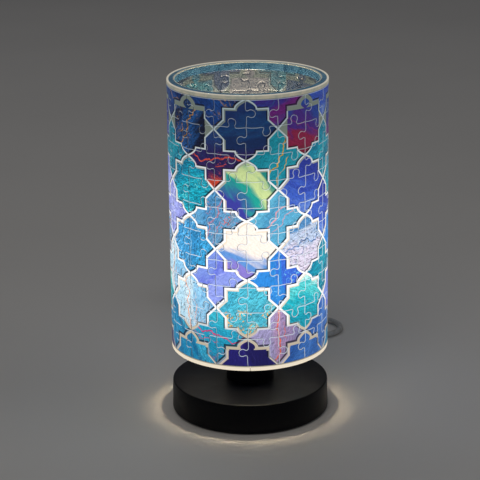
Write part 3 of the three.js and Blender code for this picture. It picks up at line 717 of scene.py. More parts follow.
def coated_black():
    """Satin black paint with faint orange peel and a little dust."""
    g = Graph("satin_black")
    dust = g.step(g.noise(g.point(), 900.0, 3.0, 0.7), 0.62, 0.78)
    tone = g.blend(g.times(dust, 0.1), colour("030409"), colour("1c1c20"))
    patches = g.step(g.noise(g.point(), 45.0, 3.0), 0.3, 0.7, 0.34, 0.46)
    g.set(Base_Color=tone, Roughness=patches)
    g.set(Specular_IOR_Level=0.13)
    g.bump(g.noise(g.point(), 1400.0, 2.0), 0.02 * MM, 0.25)
    return g.material


def moulded(name, light, dark, roughness, grain=1800.0, depth=0.03):
    """Moulded plastic or rubber: a fine texture and a slightly uneven colour."""
    g = Graph(name)
    patches = g.noise(g.point(), 60.0, 3.0)
    tone = g.blend(g.step(patches, 0.3, 0.7), colour(light), colour(dark))
    g.set(Base_Color=tone)
    g.set(Roughness=g.step(g.noise(g.point(), 130.0, 3.0), 0.3, 0.7, roughness - 0.06, roughness + 0.08))
    g.bump(g.noise(g.point(), grain, 3.0, 0.6), depth * MM, 0.35)
    return g.material


def metal(name, light, dark, roughness, brushed=False):
    """Bare or plated metal, with faint stains and fine marks."""
    g = Graph(name)
    vector = g.point()
    if brushed:
        x, y, z = g.place()
        vector = g.vector(g.times(x, 0.05), y, z)
    marks = g.noise(vector, 1500.0 if brushed else 220.0, 4.0, 0.6)
    tone = g.blend(g.step(g.noise(g.point(), 90.0, 3.0), 0.35, 0.7), colour(light), colour(dark))
    g.set(Base_Color=tone, Metallic=1.0)
    g.set(Roughness=g.step(marks, 0.3, 0.7, roughness - 0.08, roughness + 0.12))
    g.bump(marks, 0.01 * MM, 0.3)
    return g.material


def clear_ring_plastic():
    """Clear plastic: its lips are painted pale where they gather the lamp's light, with a painted
    highlight along the top outer edge and a painted shadow line beside the printed wall; the rest shows
    the blue behind it.
    """
    g = Graph("clear_plastic")
    x, y, z = g.place()
    radius = g.math("SQRT", g.add(g.times(x, x), g.times(y, y)))
    flow = g.noise(g.point(), 160.0, 3.0, 0.6, 0.6)
    lines = g.noise(g.vector(0.0, 0.0, z), 2200.0, 1.0)
    upper = g.step(z, 60 * MM, 190 * MM)
    outer_lip = g.step(radius, RADIUS - 1.5 * MM, RADIUS - 1.0 * MM)
    inner_lip = g.step(radius, RING_INNER + 0.5 * MM, RING_INNER + 0.9 * MM, 1.0, 0.0)
    on_top = g.step(z, RING_HIGH - 0.9 * MM, RING_HIGH - 0.5 * MM)
    lips = g.larger(outer_lip, g.times(inner_lip, on_top))
    deep = g.blend(g.step(flow, 0.3, 0.7), colour("2f566e"), colour("527c92"))
    deep = g.blend(g.times(g.step(lines, 0.4, 0.6), 0.5), deep, colour("1c4058"))
    pale = g.blend(g.step(flow, 0.3, 0.7), colour("c8bfa8"), colour("a8ab9c"))
    # Painted highlight along the top outer edge of the lips.
    painted_edge_highlight = g.times(g.step(z, RING_HIGH - 0.75 * MM, RING_HIGH - 0.35 * MM), outer_lip)
    pale = g.blend(g.times(painted_edge_highlight, 0.75), pale, colour("fff4e0"))
    tone = g.blend(lips, deep, pale)
    # Painted shadow line where the rings meet the printed wall.
    beside_wall = g.smaller(from_value(g, z, SHADE_LOW), from_value(g, z, SHADE_HIGH))
    painted_shadow_line = g.times(g.step(beside_wall, 0.35 * MM, 0.6 * MM, 0.75, 0.0), outer_lip)
    # The lower ring glows cream with painted lamp light, darkened by the painted shadow line beside the
    # wall.
    lit = g.blend(painted_shadow_line, g.blend(upper, colour("fff0d8"), tone), colour("3a4038"))
    g.set(Base_Color=g.blend(0.4, colour("000000"), tone), Emission_Color=lit)
    strength = g.step(z, 60 * MM, 190 * MM, 0.72, 0.48)
    on_shade = g.step(radius, 42 * MM, 44 * MM, 0.2, 1.0)
    g.set(Emission_Strength=g.times(strength, on_shade))
    g.set(Roughness=g.add(g.step(z, 60 * MM, 190 * MM, 0.38, 0.12), g.times(flow, 0.12)))
    g.set(Transmission_Weight=0.25, IOR=1.49)
    g.material.cycles.emission_sampling = "NONE"
    return g.material


def opal_plastic():
    """The bulb's globe, evenly lit, a little brighter near its equator."""
    g = Graph("opal")
    height = g.place()[2]
    cloud = g.noise(g.point(), 60.0, 2.0)
    tone = g.blend(g.step(cloud, 0.3, 0.7), colour("fff1d6"), colour("ffe9c4"))
    g.set(Base_Color=tone, Emission_Color=tone, Roughness=0.35)
    g.set(Emission_Strength=g.step(height, 95 * MM, 107 * MM, 60.0, 110.0))
    return g.material


def cord_sheath():
    """Light grey flexible sheath, a little rubbed."""
    g = Graph("cord_grey")
    rub = g.step(g.noise(g.point(), 240.0, 3.0, 0.6), 0.35, 0.7)
    g.set(Base_Color=g.blend(rub, colour("b6b5b2"), colour("9c9b98")))
    g.set(Roughness=g.step(rub, 0.0, 1.0, 0.42, 0.58))
    g.bump(g.noise(g.point(), 1600.0, 2.0), 0.02 * MM, 0.3)
    return g.material


def floor_material():
    g = Graph("floor")
    cloud = g.noise(g.point(), 1.6, 3.0, 0.6)
    g.set(Base_Color=g.blend(g.step(cloud, 0.3, 0.7), colour("d9d5cf"), colour("d2cec8")))
    g.set(Roughness=g.step(cloud, 0.3, 0.7, 0.68, 0.78))
    return g.material


def make_materials():
    return {
        "print": lit_plastic("printed_outside", 0.35, 0.95, 0.3),
        # The edge material carries a painted highlight and painted shade on the seams.
        "edge": lit_plastic("printed_edge_painted_light", 0.4, 0.9, 0.3, seam_painted_light),
        "inside": lit_plastic("printed_inside", 0.12, 0.34, 0.5, seen_from_inside, (0.2, 0.3)),
        "satin_black": coated_black(),
        "matte_black": moulded("matte_black", "1a1a1d", "131315", 0.55),
        "rubber": moulded("rubber", "202022", "18181a", 0.82, 900.0, 0.05),
        "zinc_steel": metal("zinc_steel", "b4b8bd", "8f9398", 0.36),
        "cast_iron": metal("cast_iron", "55565a", "3e3f42", 0.62),
        "ceramic": moulded("ceramic", "ebe6dc", "e0dacd", 0.3, 500.0, 0.02),
        "brass": metal("brass", "cfaa54", "a8843c", 0.3),
        "nickel": metal("nickel", "cdc9c0", "a9a59c", 0.26),
        "clear_plastic": clear_ring_plastic(),
        "opal": opal_plastic(),
        "white_plastic": moulded("white_plastic", "ecebe7", "e2e1dc", 0.4),
        "board": moulded("board", "e2e6e2", "cfd6d0", 0.45, 400.0, 0.02),
        "black_glass": moulded("black_glass", "121216", "0b0b0e", 0.16, 300.0, 0.01),
        "cord_grey": cord_sheath(),
    }


# ---------------------------------------------------------------------------------------------
# Shade
# ---------------------------------------------------------------------------------------------

KNOB_RADIUS = 2.4 * MM
KNOB_CENTRE = 3.3 * MM
KNOB_FILLET = 1.2 * MM
SEAM_GAP = 0.003 * MM  # half the gap between two pieces
EDGE_ROUND = 0.36 * MM
SEAM_SWAY = 0.35 * MM


def arc_points(x, y, radius, start, end, steps):
    """Points along an arc, its angles in degrees."""
    points = []
    for i in range(steps + 1):
        angle = math.radians(start + (end - start) * i / steps)
        points.append((x + radius * math.cos(angle), y + radius * math.sin(angle)))
    return points


def knob_points():
    """A knob on a straight seam along +x, bulging towards +y, centred on x = 0."""
    foot = math.sqrt((KNOB_RADIUS + KNOB_FILLET) ** 2 - (KNOB_CENTRE - KNOB_FILLET) ** 2)
    lean = math.degrees(math.atan2(KNOB_CENTRE - KNOB_FILLET, foot))
    entry = arc_points(-foot, KNOB_FILLET, KNOB_FILLET, -90, lean, 4)
    ball = arc_points(0, KNOB_CENTRE, KNOB_RADIUS, 180 + lean, -lean, 14)
    leave = arc_points(foot, KNOB_FILLET, KNOB_FILLET, 180 - lean, 270, 4)
    return entry + ball[1:-1] + leave


def seam_points(length, knob_at, side):
    """A seam from x = 0 to its length, with a knob towards +y (side 1) or -y (side -1)."""
    knob = [(knob_at + x, side * y) for x, y in knob_points()]
    pieces = 3
    before = [(knob[0][0] * i / pieces, 0.0) for i in range(pieces)]
    rest = length - knob[-1][0]
    after = [(knob[-1][0] + rest * i / pieces, 0.0) for i in range(1, pieces + 1)]
    points = before + knob + after
    return [(x, y + side * SEAM_SWAY * math.sin(math.tau * x / length)) for x, y in points]


def row_edges(row):
    """The lower and upper height of a row of pieces."""
    low = SHADE_LOW if row == 0 else FIRST_ROW_TOP + (row - 1) * ROW_HEIGHT
    high = SHADE_HIGH if row == ROWS - 1 else FIRST_ROW_TOP + row * ROW_HEIGHT
    return low, high


def upright_seam(seam, row):
    """The seam on the left of column number seam, as (arc length, height) points going up."""
    low, high = row_edges(row)
    side = 1 if (seam + row) % 2 else -1  # 1 bulges to the right
    at = (high - low) * (0.5 + 0.04 * math.sin(3.1 * seam + 1.7 * row))
    left = RADIUS * (FIRST_SEAM + seam * COLUMN_ANGLE)
    return [(left + y, low + x) for x, y in seam_points(high - low, at, side)]


def level_seam(seam, column):
    """The seam above row number seam, as points going to the right."""
    width = RADIUS * COLUMN_ANGLE
    left = RADIUS * (FIRST_SEAM + column * COLUMN_ANGLE)
    height = row_edges(seam)[1]
    if seam in (-1, ROWS - 1):
        height = SHADE_LOW if seam < 0 else SHADE_HIGH
        return [(left + width * i / 8, height) for i in range(9)]
    side = 1 if (column + seam) % 2 else -1  # 1 bulges upwards
    at = width * (0.6 + 0.05 * math.sin(2.3 * column + 1.1 * seam))
    return [(left + x, height + y) for x, y in seam_points(width, at, side)]


def piece_outline(column, row):
    """One puzzle piece unrolled, counter-clockwise as seen from outside."""
    bottom = level_seam(row - 1, column)
    if column + 1 < COLUMNS:
        right = upright_seam(column + 1, row)
    else:
        right = [(s + math.tau * RADIUS, z) for s, z in upright_seam(0, row)]
    top = level_seam(row, column)[::-1]
    left = upright_seam(column, row)[::-1]
    return bottom[:-1] + right[:-1] + top[:-1] + left[:-1]


def inset(outline, distance):
    """The outline moved inwards by a distance."""
    count = len(outline)
    made = []
    for i, point in enumerate(outline):
        here = Vector(point)
        before = (here - Vector(outline[i - 1])).normalized()
        after = (Vector(outline[(i + 1) % count]) - here).normalized()
        mean = (before + after).normalized()
        inward = Vector((-mean.y, mean.x))
        share = max(0.5, inward.dot(Vector((-after.y, after.x))))
        made.append(here + inward * (distance / share))
    return made


def inside_outline(point, outline):
    x, y = point
    crossed = False
    for i, (x2, y2) in enumerate(outline):
        x1, y1 = outline[i - 1]
        if (y1 > y) != (y2 > y) and x < (x2 - x1) * (y - y1) / (y2 - y1) + x1:
            crossed = not crossed
    return crossed


def filled(outline):
    """Triangles that fill an outline, with inner points close enough together to bend it."""
    spacing = 2.0 * MM
    clearance = 0.75 * MM
    xs = [p[0] for p in outline]
    ys = [p[1] for p in outline]
    inner = []
    for i in range(1, int((max(xs) - min(xs)) / spacing) + 1):
        for j in range(1, int((max(ys) - min(ys)) / spacing) + 1):
            point = Vector((min(xs) + i * spacing, min(ys) + j * spacing))
            near = min((point - p).length for p in outline)
            if near > clearance and inside_outline(point, outline):
                inner.append(point)
    boundary = list(range(len(outline)))
    done = delaunay_2d_cdt(list(outline) + inner, [], [boundary], 1, 1e-7)
    order = [sources[0] for sources in done[3]]
    triangles = [tuple(order[i] for i in face) for face in done[2]]
    return list(outline) + inner, triangles


def on_cylinder(point, radius):
    """A point of the unrolled wall, bent round the lamp."""
    angle = point[0] / RADIUS
    return (radius * math.sin(angle), -radius * math.cos(angle), point[1])


def puzzle_piece(column, row, materials):
    """One piece: a curved plate with knobs and hollows, its edges rounded on both faces."""
    outline = piece_outline(column, row)
    inner_radius = RADIUS - WALL
    face, triangles = filled(inset(outline, SEAM_GAP + EDGE_ROUND))
    wall_line = inset(outline, SEAM_GAP)
    bevel_line = inset(outline, SEAM_GAP + EDGE_ROUND * 0.3)
    count = len(outline)
    points = [on_cylinder(p, RADIUS) for p in face]
    first_inner = len(points)
    points += [on_cylinder(p, inner_radius) for p in face]
    loops = [list(range(count))]
    for line, radius in (
        (bevel_line, RADIUS - 0.3 * EDGE_ROUND),
        (wall_line, RADIUS - EDGE_ROUND),
        (wall_line, inner_radius + EDGE_ROUND),
        (bevel_line, inner_radius + 0.3 * EDGE_ROUND),
    ):
        loops.append(list(range(len(points), len(points) + count)))
        points += [on_cylinder(p, radius) for p in line]
    loops.append([first_inner + i for i in range(count)])
    edge_slots = [1, 1, 1, 2, 2]
    faces = [tuple(t) for t in triangles]
    faces += [tuple(first_inner + i for i in reversed(t)) for t in triangles]
    face_slots = [0] * len(triangles) + [2] * len(triangles)
    for upper, lower, edge_slot in zip(loops, loops[1:], edge_slots):
        for i in range(count):
            k = (i + 1) % count
            faces.append((upper[i], lower[i], lower[k], upper[k]))
            face_slots.append(edge_slot)
    name = f"puzzle_piece_{row + 1:02d}_{column + 1:02d}"
    piece = new_object(name, points, faces)
    for key in ("print", "edge", "inside"):
        piece.data.materials.append(materials[key])
    piece.data.polygons.foreach_set("material_index", face_slots)
    piece.data.set_sharp_from_angle(angle=math.radians(50))
    return finish_piece(piece, "shade", "printed_plastic", f"puzzle_column_{column + 1:02d}")


RING_JOINT_GAP = 0.15 * MM


def half_ring(name, profile, joint_degrees, side, materials):
    """One half of a ring, from its joint half way round."""
    gap = RING_JOINT_GAP / RADIUS
    start = math.radians(joint_degrees) + gap
    if side < 0:
        start -= math.pi
    piece = spin(name.replace("ring", "band"), profile, 96, start, math.pi - 2 * gap)
    steady_normals(piece)
    return finish_piece(piece, "shade", "clear_plastic", name, materials=materials)


def top_ring_profile():
    """A band on the wall's edge with two fine lips on top, and a skirt inside the wall."""
    low = SHADE_HIGH + 0.05 * MM
    lip = 0.9 * MM
    groove = RING_HIGH - 0.45 * MM
    points = [
        (RING_INNER, low - SKIRT),
        (SKIRT_RADIUS, low - SKIRT),
        (SKIRT_RADIUS, low),
        (RADIUS, low),
        (RADIUS, RING_HIGH),
        (RADIUS - lip, RING_HIGH),
        (RADIUS - lip - 0.3 * MM, groove),
        (RING_INNER + lip + 0.3 * MM, groove),
        (RING_INNER + lip, RING_HIGH),
        (RING_INNER, RING_HIGH),
    ]
    return rounded(points, 0.45 * MM)


def bottom_ring_profile():
    """The same the other way up, with the ledge that rests on the carrier."""
    high = SHADE_LOW - 0.05 * MM
    carrier_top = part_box("shade_carrier")[1].z + 0.1 * MM
    ledge = 42.6 * MM
    points = [
        (RING_INNER, RING_LOW),
        (RADIUS, RING_LOW),
        (RADIUS, high),
        (SKIRT_RADIUS, high),
        (SKIRT_RADIUS, high + SKIRT),
        (RING_INNER, high + SKIRT),
        (ledge, carrier_top + 1.4 * MM),
        (ledge, carrier_top),
        (RING_INNER, carrier_top),
    ]
    return rounded(points, 0.4 * MM)


def make_shade(materials):
    for row in range(ROWS):
        for column in range(COLUMNS):
            puzzle_piece(column, row, materials)
    top = top_ring_profile()
    bottom = bottom_ring_profile()
    half_ring("top_ring_right", top, -32, 1, materials)
    half_ring("top_ring_left", top, -32, -1, materials)
    half_ring("bottom_ring_right", bottom, 0, 1, materials)
    half_ring("bottom_ring_left", bottom, 0, -1, materials)


# ---------------------------------------------------------------------------------------------
# Base and neck
# ---------------------------------------------------------------------------------------------


TUBE_HOLE = 5.4 * MM  # radius of the hole for the lamp tube


def make_cover(materials):
    """The base's black cover: a low cup, upside down, with a slight taper."""
    low, high = (corner.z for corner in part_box("base_cover"))
    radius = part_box("base_cover")[1].x
    top_radius = radius - 0.5 * MM
    wall = 2.0 * MM
    profile = [
        (TUBE_HOLE, high - wall),
        (top_radius - wall, high - wall),
        (radius - wall, low),
        (radius, low),
        (top_radius, high),
        (TUBE_HOLE, high),
    ]
    cover = rounded(profile, 0.9 * MM, steps=5)
    turned_part("base_shell", cover, "base_cover", "base", "satin_black", materials, 160)


def make_neck(materials):
    """The black neck: a short tube with a floor that rests on the cover."""
    foot, mouth = (corner.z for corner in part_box("neck_sleeve"))
    outer = 15.5 * MM
    inner = 14.1 * MM
    floor = 2 * MM
    profile = [
        (TUBE_HOLE, foot),
        (outer, foot),
        (outer, mouth),
        (inner, mouth),
        (inner, foot + floor),
        (TUBE_HOLE, foot + floor),
    ]
    neck = rounded(profile, 0.35 * MM)
    turned_part("neck_tube", neck, "neck_sleeve", "base", "satin_black", materials)


# ---------------------------------------------------------------------------------------------
# Lampholder, carrier, ring nut and bulb
# ---------------------------------------------------------------------------------------------

NUT_PITCH = 2.0 * MM
CAP_PITCH = 2.82 * MM


def frame_body(node):
    """The body that a CAD node belongs to."""
    bodies = frame["record"]["behaviour"]["bodies"]
    return next(name for name, nodes in bodies.items() if node in nodes)


def axial_box(node):
    """A round node's radius and its lowest and highest points."""
    low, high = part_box(node)
    return high.x, low.z, high.z


def turned_part(name, profile, node, body, slot, materials, steps=128):
    """A part turned on the lamp's axis."""
    piece = spin(name, profile, steps)
    steady_normals(piece)
    return finish_piece(piece, body, slot, node, materials=materials)


def wall_points(radius, low, high, spacing):
    """Closely spaced profile points up a straight wall, for a thread to be cut in."""
    count = max(2, round((high - low) / spacing))
    return [(radius, low + (high - low) * i / count) for i in range(count + 1)]


def cut_thread(piece, radius, low, high, pitch, depth):
    """A right-hand thread with a round form, its ends run out."""
    for vertex in piece.data.vertices:
        x, y, z = vertex.co
        here = math.hypot(x, y)
        if abs(here - radius) > 0.02 * MM or not low <= z <= high:
            continue
        turn = math.atan2(y, x) / math.tau
        fade = ease(min(z - low, high - z) / (0.5 * pitch))
        groove = depth * fade * (0.5 - 0.5 * math.cos(math.tau * (z / pitch - turn)))
        vertex.co.x -= x / here * groove
        vertex.co.y -= y / here * groove


def plate(name, loops, low, high, round_edge):
    """A flat plate: the first loop is its outline and the others are its holes."""
    data = bpy.data.curves.new(name, "CURVE")
    data.dimensions = "2D"
    data.fill_mode = "BOTH"
    data.extrude = (high - low) / 2 - round_edge
    data.bevel_depth = round_edge
    data.bevel_resolution = 2
    data.offset = -round_edge
    for loop in loops:
        spline = data.splines.new("POLY")
        spline.points.add(len(loop) - 1)
        spline.use_cyclic_u = True
        for knot, (x, y) in zip(spline.points, loop):
            knot.co = (x, y, 0, 1)
    shape = bpy.data.objects.new(name, data)
    bpy.context.scene.collection.objects.link(shape)
    shown = shape.evaluated_get(bpy.context.evaluated_depsgraph_get())
    mesh = bpy.data.meshes.new_from_object(shown)
    bpy.data.objects.remove(shape)
    builder = bmesh.new()
    builder.from_mesh(mesh)
    bmesh.ops.remove_doubles(builder, verts=builder.verts, dist=0.002 * MM)
    bmesh.ops.recalc_face_normals(builder, faces=builder.faces)
    bmesh.ops.translate(builder, verts=builder.verts, vec=(0, 0, (low + high) / 2))
    builder.to_mesh(mesh)
    builder.free()
    piece = bpy.data.objects.new(name, mesh)
    bpy.context.scene.collection.objects.link(piece)
    mesh.polygons.foreach_set("use_smooth", [True] * len(mesh.polygons))
    return steady_normals(piece)


def circle_points(radius, steps, x=0.0, y=0.0):
    return arc_points(x, y, radius, 0, 360, steps)[:-1]


def make_carrier(materials):
    """The clear wheel that carries the shade: a hub, a rim and four arms."""
    radius, low, high = axial_box("shade_carrier")
    hub, rim, half_arm = 20 * MM, 41.5 * MM, 3.5 * MM
    outer_span = 45 - math.degrees(math.asin(half_arm / rim))
    inner_span = 45 - math.degrees(math.asin(half_arm / hub))
    loops = [circle_points(radius, 128), circle_points(14.5 * MM, 64)]
    for quarter in range(4):
        middle = 90 * quarter
        outside = arc_points(0, 0, rim, middle - outer_span, middle + outer_span, 24)
        inside = arc_points(0, 0, hub, middle + inner_span, middle - inner_span, 12)
        loops.append(outside + inside)
    wheel = plate("carrier_wheel", loops, low, high, 0.25 * MM)
    finish_piece(wheel, "carrier", "clear_plastic", "shade_carrier", materials=materials)


def make_nut(materials):
    """The ring nut, with rounded finger ribs."""
    _, low, high = axial_box("ring_nut")
    bore, grip, flange = 14.35 * MM, 17.5 * MM, 19.5 * MM
    profile = [
        (bore, low),
        (flange, low),
        (flange, low + 2 * MM),
        (grip, low + 2 * MM),
        (grip, high),
        (bore, high),
    ]
    nut = spin("nut_ribbed", rounded(profile, 0.4 * MM), 320)
    ribs = 20
    for vertex in nut.data.vertices:
        x, y, z = vertex.co
        radius = math.hypot(x, y)
        if z > low + 2 * MM and radius > grip - 0.5 * MM:
            wave = abs(math.sin(0.5 * ribs * math.atan2(y, x)))
            shrink = 1 - 0.9 * MM * (1 - wave) ** 2 / radius
            vertex.co.x *= shrink
            vertex.co.y *= shrink
    steady_normals(nut)
    finish_piece(nut, "nut", "matte_black", "ring_nut", materials=materials)


def make_nut_washer(materials):
    """The washer that the ring nut carries under it."""
    radius, low, high = axial_box("ring_nut_washer")
    body = frame_body("ring_nut_washer")
    profile = [(14.4 * MM, low), (radius, low), (radius, high), (14.4 * MM, high)]
    washer = rounded(profile, 0.2 * MM)
    turned_part("nut_washer", washer, "ring_nut_washer", body, "white_plastic", materials)


def make_holder(materials):
    """The lampholder's sleeve, with the thread that the ring nut runs on."""
    _, low, high = axial_box("holder_sleeve")
    crest, neck, inner, mouth = 14 * MM, 13 * MM, 12.6 * MM, 8.6 * MM
    thread_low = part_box("neck_sleeve")[1].z + 0.3 * MM
    thread_high = high - 11 * MM
    start = [(inner, low), (crest - 0.2 * MM, low), (crest - 0.2 * MM, thread_low)]
    rest = [
        (neck, thread_high + 1 * MM),
        (neck, high - 1 * MM),
        (neck - 1 * MM, high),
        (mouth, high),
        (mouth, high - 2.5 * MM),
        (inner, high - 2.5 * MM),
    ]
    thread = wall_points(crest, thread_low + 0.3 * MM, thread_high, NUT_PITCH / 10)
    sleeve = spin("sleeve_threaded", start + thread + rest, 96)
    cut_thread(sleeve, crest, thread_low + 0.3 * MM, thread_high, NUT_PITCH, 0.55 * MM)
    steady_normals(sleeve)
    body = frame_body("holder_sleeve")
    finish_piece(sleeve, body, "matte_black", "holder_sleeve", materials=materials)


def make_bulb_collar(materials):
    """The bulb's collar, which widens from the screw cap to the globe."""
    body = frame_body("bulb_collar")
    _, collar_low, collar_high = axial_box("bulb_collar")
    cap_top = collar_low + 6 * MM
    profile = [
        (4.5, -6.0), (6.0, -6.0), (6.0, -2.0), (7.0, 0.0), (8.4, 0.0), (9.6, 3.5),
    ]
    profile = [(r * MM, cap_top + z * MM) for r, z in profile]
    profile += [(13.4 * MM, collar_high - 7 * MM), (16.4 * MM, collar_high), (12.5 * MM, collar_high)]
    profile += [(10.6 * MM, collar_high - 7 * MM), (7.4 * MM, cap_top + 3.5 * MM), (4.5 * MM, cap_top)]
    collar = rounded(profile, 1.2 * MM, steps=5)
    turned_part("collar_turned", collar, "bulb_collar", body, "white_plastic", materials)


def make_globe(materials):
    """The bulb's thin opal plastic globe, open at the collar."""
    radius, wall = 22.5 * MM, 0.8 * MM
    _, globe_low, globe_high = axial_box("bulb_globe")
    centre = globe_high - radius
    steps = 28
    profile = []
    for size, order in ((radius - wall, range(steps, -1, -1)), (radius, range(steps + 1))):
        start = -math.asin((centre - globe_low) / size)
        for i in order:
            angle = start + (math.pi / 2 - start) * i / steps
            across = 0.0 if i == steps else size * math.cos(angle)
            profile.append((across, centre + size * math.sin(angle)))
    body = frame_body("bulb_globe")
    turned_part("globe_turned", profile, "bulb_globe", body, "opal", materials)


def make_bulb_cap(materials):
    """The bulb's screw cap, with its thread."""
    cap_radius = 6.85 * MM
    _, low, high = axial_box("bulb_cap")
    wall = 0.4 * MM
    thread = wall_points(cap_radius, low + 1 * MM, high - 2 * MM, CAP_PITCH / 12)
    profile = [(0, low), (6.2 * MM, low), *thread]
    profile += [(cap_radius + 1 * MM, high), (cap_radius + 1 * MM - wall, high)]
    profile += [(cap_radius - 2 * wall, high - 2 * MM), (cap_radius - 2 * wall, low + 1 * MM + wall)]
    profile.append((0, low + 1 * MM + wall))
    cap = spin("cap_threaded", profile, 96)
    cut_thread(cap, cap_radius, low + 1 * MM, high - 2 * MM, CAP_PITCH, 0.38 * MM)
    steady_normals(cap)
    finish_piece(cap, frame_body("bulb_cap"), "nickel", "bulb_cap", materials=materials)


def make_pad(materials):
    """The foot pad, with round grooves in its underside."""
    radius, low, high = axial_box("foot_pad")
    groove_pitch = 5 * MM
    face = []
    for i in range(6, 1, -1):
        middle = i * groove_pitch
        face += [(middle + 0.9 * MM, low), (middle + 0.5 * MM, low + 0.5 * MM)]
        face += [(middle - 0.5 * MM, low + 0.5 * MM), (middle - 0.9 * MM, low)]
    profile = [(0, low), *face[::-1], (radius - 0.5 * MM, low), (radius, low + 0.5 * MM)]
    profile += [(radius, high), (0, high)]
    turned_part("pad_grooved", profile, "foot_pad", "base", "rubber", materials)


def make_base_plate(materials):
    """The plate above the pad, and the screws that hold it."""
    radius, low, high = axial_box("base_plate")
    screws = [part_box(f"base_screw_{i}") for i in (1, 2, 3)]
    centres = [(a + b) / 2 for a, b in screws]
    holes = [circle_points(1.6 * MM, 24, c.x, c.y) for c in centres]
    disc = plate("plate_disc", [circle_points(radius, 128), *holes], low, high, 0.15 * MM)
    finish_piece(disc, "base", "zinc_steel", "base_plate", materials=materials)
    for number, centre in enumerate(centres, 1):
        base_screw(number, centre, materials)


def base_screw(number, centre, materials):
    """A pan-head screw, head down, with a cross recess."""
    low, high = (corner.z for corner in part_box(f"base_screw_{number}"))
    shank, head = 1.25 * MM, 2.7 * MM
    profile = [
        (0, low),
        (1.6 * MM, low),
        (2.3 * MM, low + 0.15 * MM),
        (head, low + 0.6 * MM),
        (head, low + 1 * MM),
        (shank, low + 1 * MM),
        (shank, high - 1 * MM),
        (0, high),
    ]
    screw = spin(f"pan_screw_{number}", profile, 48, closed=False)
    arm, half = 1.4 * MM, 0.28 * MM
    cross = [
        (arm, -half), (arm, half), (half, half), (half, arm), (-half, arm), (-half, half),
        (-arm, half), (-arm, -half), (-half, -half), (-half, -arm), (half, -arm), (half, -half),
    ]
    heights = (low - 1 * MM, low + 0.55 * MM)
    cutter = loft("recess", [[(x, y, z) for x, y in cross] for z in heights])
    carve(screw, cutter)
    screw.data.transform(Matrix.Translation((centre.x, centre.y, 0)))
    screw.data.set_sharp_from_angle(angle=math.radians(40))
    finish_piece(screw, "base", "zinc_steel", f"base_screw_{number}", materials=materials)


# ---------------------------------------------------------------------------------------------
# Cord, switch and plug
# ---------------------------------------------------------------------------------------------

ROUTE_TO_SWITCH = [
    (0, 75.1, 8.5),
    (0, 79.4, 8.3),
    (0.9, 84.6, 7.0),
    (3.6, 89.9, 5.0),
    (8.4, 94.6, 3.2),
    (15.2, 98.5, 2.2),
    (24, 102.8, 2.1),
    (33, 108.2, 2.1),
    (41, 114.1, 2.1),
    (49, 118.8, 2.1),
    (57.3, 121.9, 2.1),
    (63.9, 128.2, 2.1),
    (66.4, 137, 2.1),
    (64, 145.8, 2.1),
    (57.6, 152.2, 2.1),
    (49.5, 154.4, 3.0),
    (43, 154.2, 4.9),
    (37, 154, 6.9),
    (31.5, 154, 7.5),
]
ROUTE_THROUGH_SWITCH = [(16, 154, 6.6), (2, 154, 6.4), (-12, 154, 6.6)]
ROUTE_TO_COIL = [
    (-27.5, 154, 7.5),
    (-31.7, 154.5, 7.35),
    (-35.7, 156.1, 6.9),
    (-39.1, 158.6, 6.1),
    (-41.8, 161.8, 5.1),
    (-43.6, 165.6, 4.1),
    (-44.5, 169.7, 3.2),
    (-44.7, 174, 2.5),
    (-44.4, 181, 2.1),
    (-43.7, 189.9, 2.1),
]
# The last of the coil's turns, as it rises over the others.
ROUTE_OFF_COIL = [(-0.9, 232.3, 15.6), (4.6, 229.9, 17.0), (8.2, 227.9, 18.2)]
ROUTE_TO_PLUG = [
    (11.2, 225, 19.2),
    (13.4, 221.5, 20.1),
    (14.6, 217.6, 20.9),
    (14.9, 213.4, 21.6),
    (14.1, 209.4, 22.2),
    (12.3, 205.6, 22.8),
    (9.6, 202.4, 23.3),
    (6.3, 200, 23.7),
    (2.4, 198.5, 23.9),
    (-1.7, 198, 23.95),
]


def ease(t):
    t = min(1.0, max(0.0, t))
    return t * t * (3 - 2 * t)


def coil_points():
    """Four layers of spiral turns, in, out, in and out again, clockwise from above."""
    per_turn = 24
    climb = 0.3  # the share of a turn in which the cord rises to the next layer
    points = []
    for i in range(round(COIL_TURNS * per_turn) + 1):
        turns = i / per_turn
        layer = min(int(turns / LAYER_TURNS), COIL_LAYERS - 1)
        along = turns - layer * LAYER_TURNS
        inwards = along if layer % 2 == 0 else LAYER_TURNS - along
        radius = COIL_OUTER - COIL_PITCH * inwards
        rises = [ease((turns - n * LAYER_TURNS) / climb + 0.5) for n in range(1, COIL_LAYERS)]
        height = COIL_PITCH * (0.5 + sum(rises))
        angle = math.pi - math.tau * turns
        x = COIL_CENTRE[0] + radius * math.cos(angle)
        y = COIL_CENTRE[1] + radius * math.sin(angle)
        points.append(Vector((x, y, height)))
    return points


def make_cord(materials):
    """One cord from the boot, through the switch, round the coil and into the plug."""
    route = [Vector(p) * MM for p in ROUTE_TO_SWITCH + ROUTE_THROUGH_SWITCH + ROUTE_TO_COIL]
    route += coil_points()
    route += [Vector(p) * MM for p in ROUTE_OFF_COIL + ROUTE_TO_PLUG]
    data = bpy.data.curves.new("cord", "CURVE")
    data.dimensions = "3D"
    data.bevel_depth = CORD_DIAMETER / 2
    data.bevel_resolution = 4
    data.resolution_u = 6
    data.use_fill_caps = True
    spline = data.splines.new("BEZIER")
    spline.bezier_points.add(len(route) - 1)
    for knot, place in zip(spline.bezier_points, route):
        knot.co = place
        knot.handle_left_type = "AUTO"
        knot.handle_right_type = "AUTO"
    cord = bpy.data.objects.new("supply_cord", data)
    bpy.context.scene.collection.objects.link(cord)
    nodes = ("cord_to_switch", "cord_to_coil", "cord_coil", "cord_to_plug")
    return finish_piece(cord, "base", "cord_grey", *nodes, materials=materials)


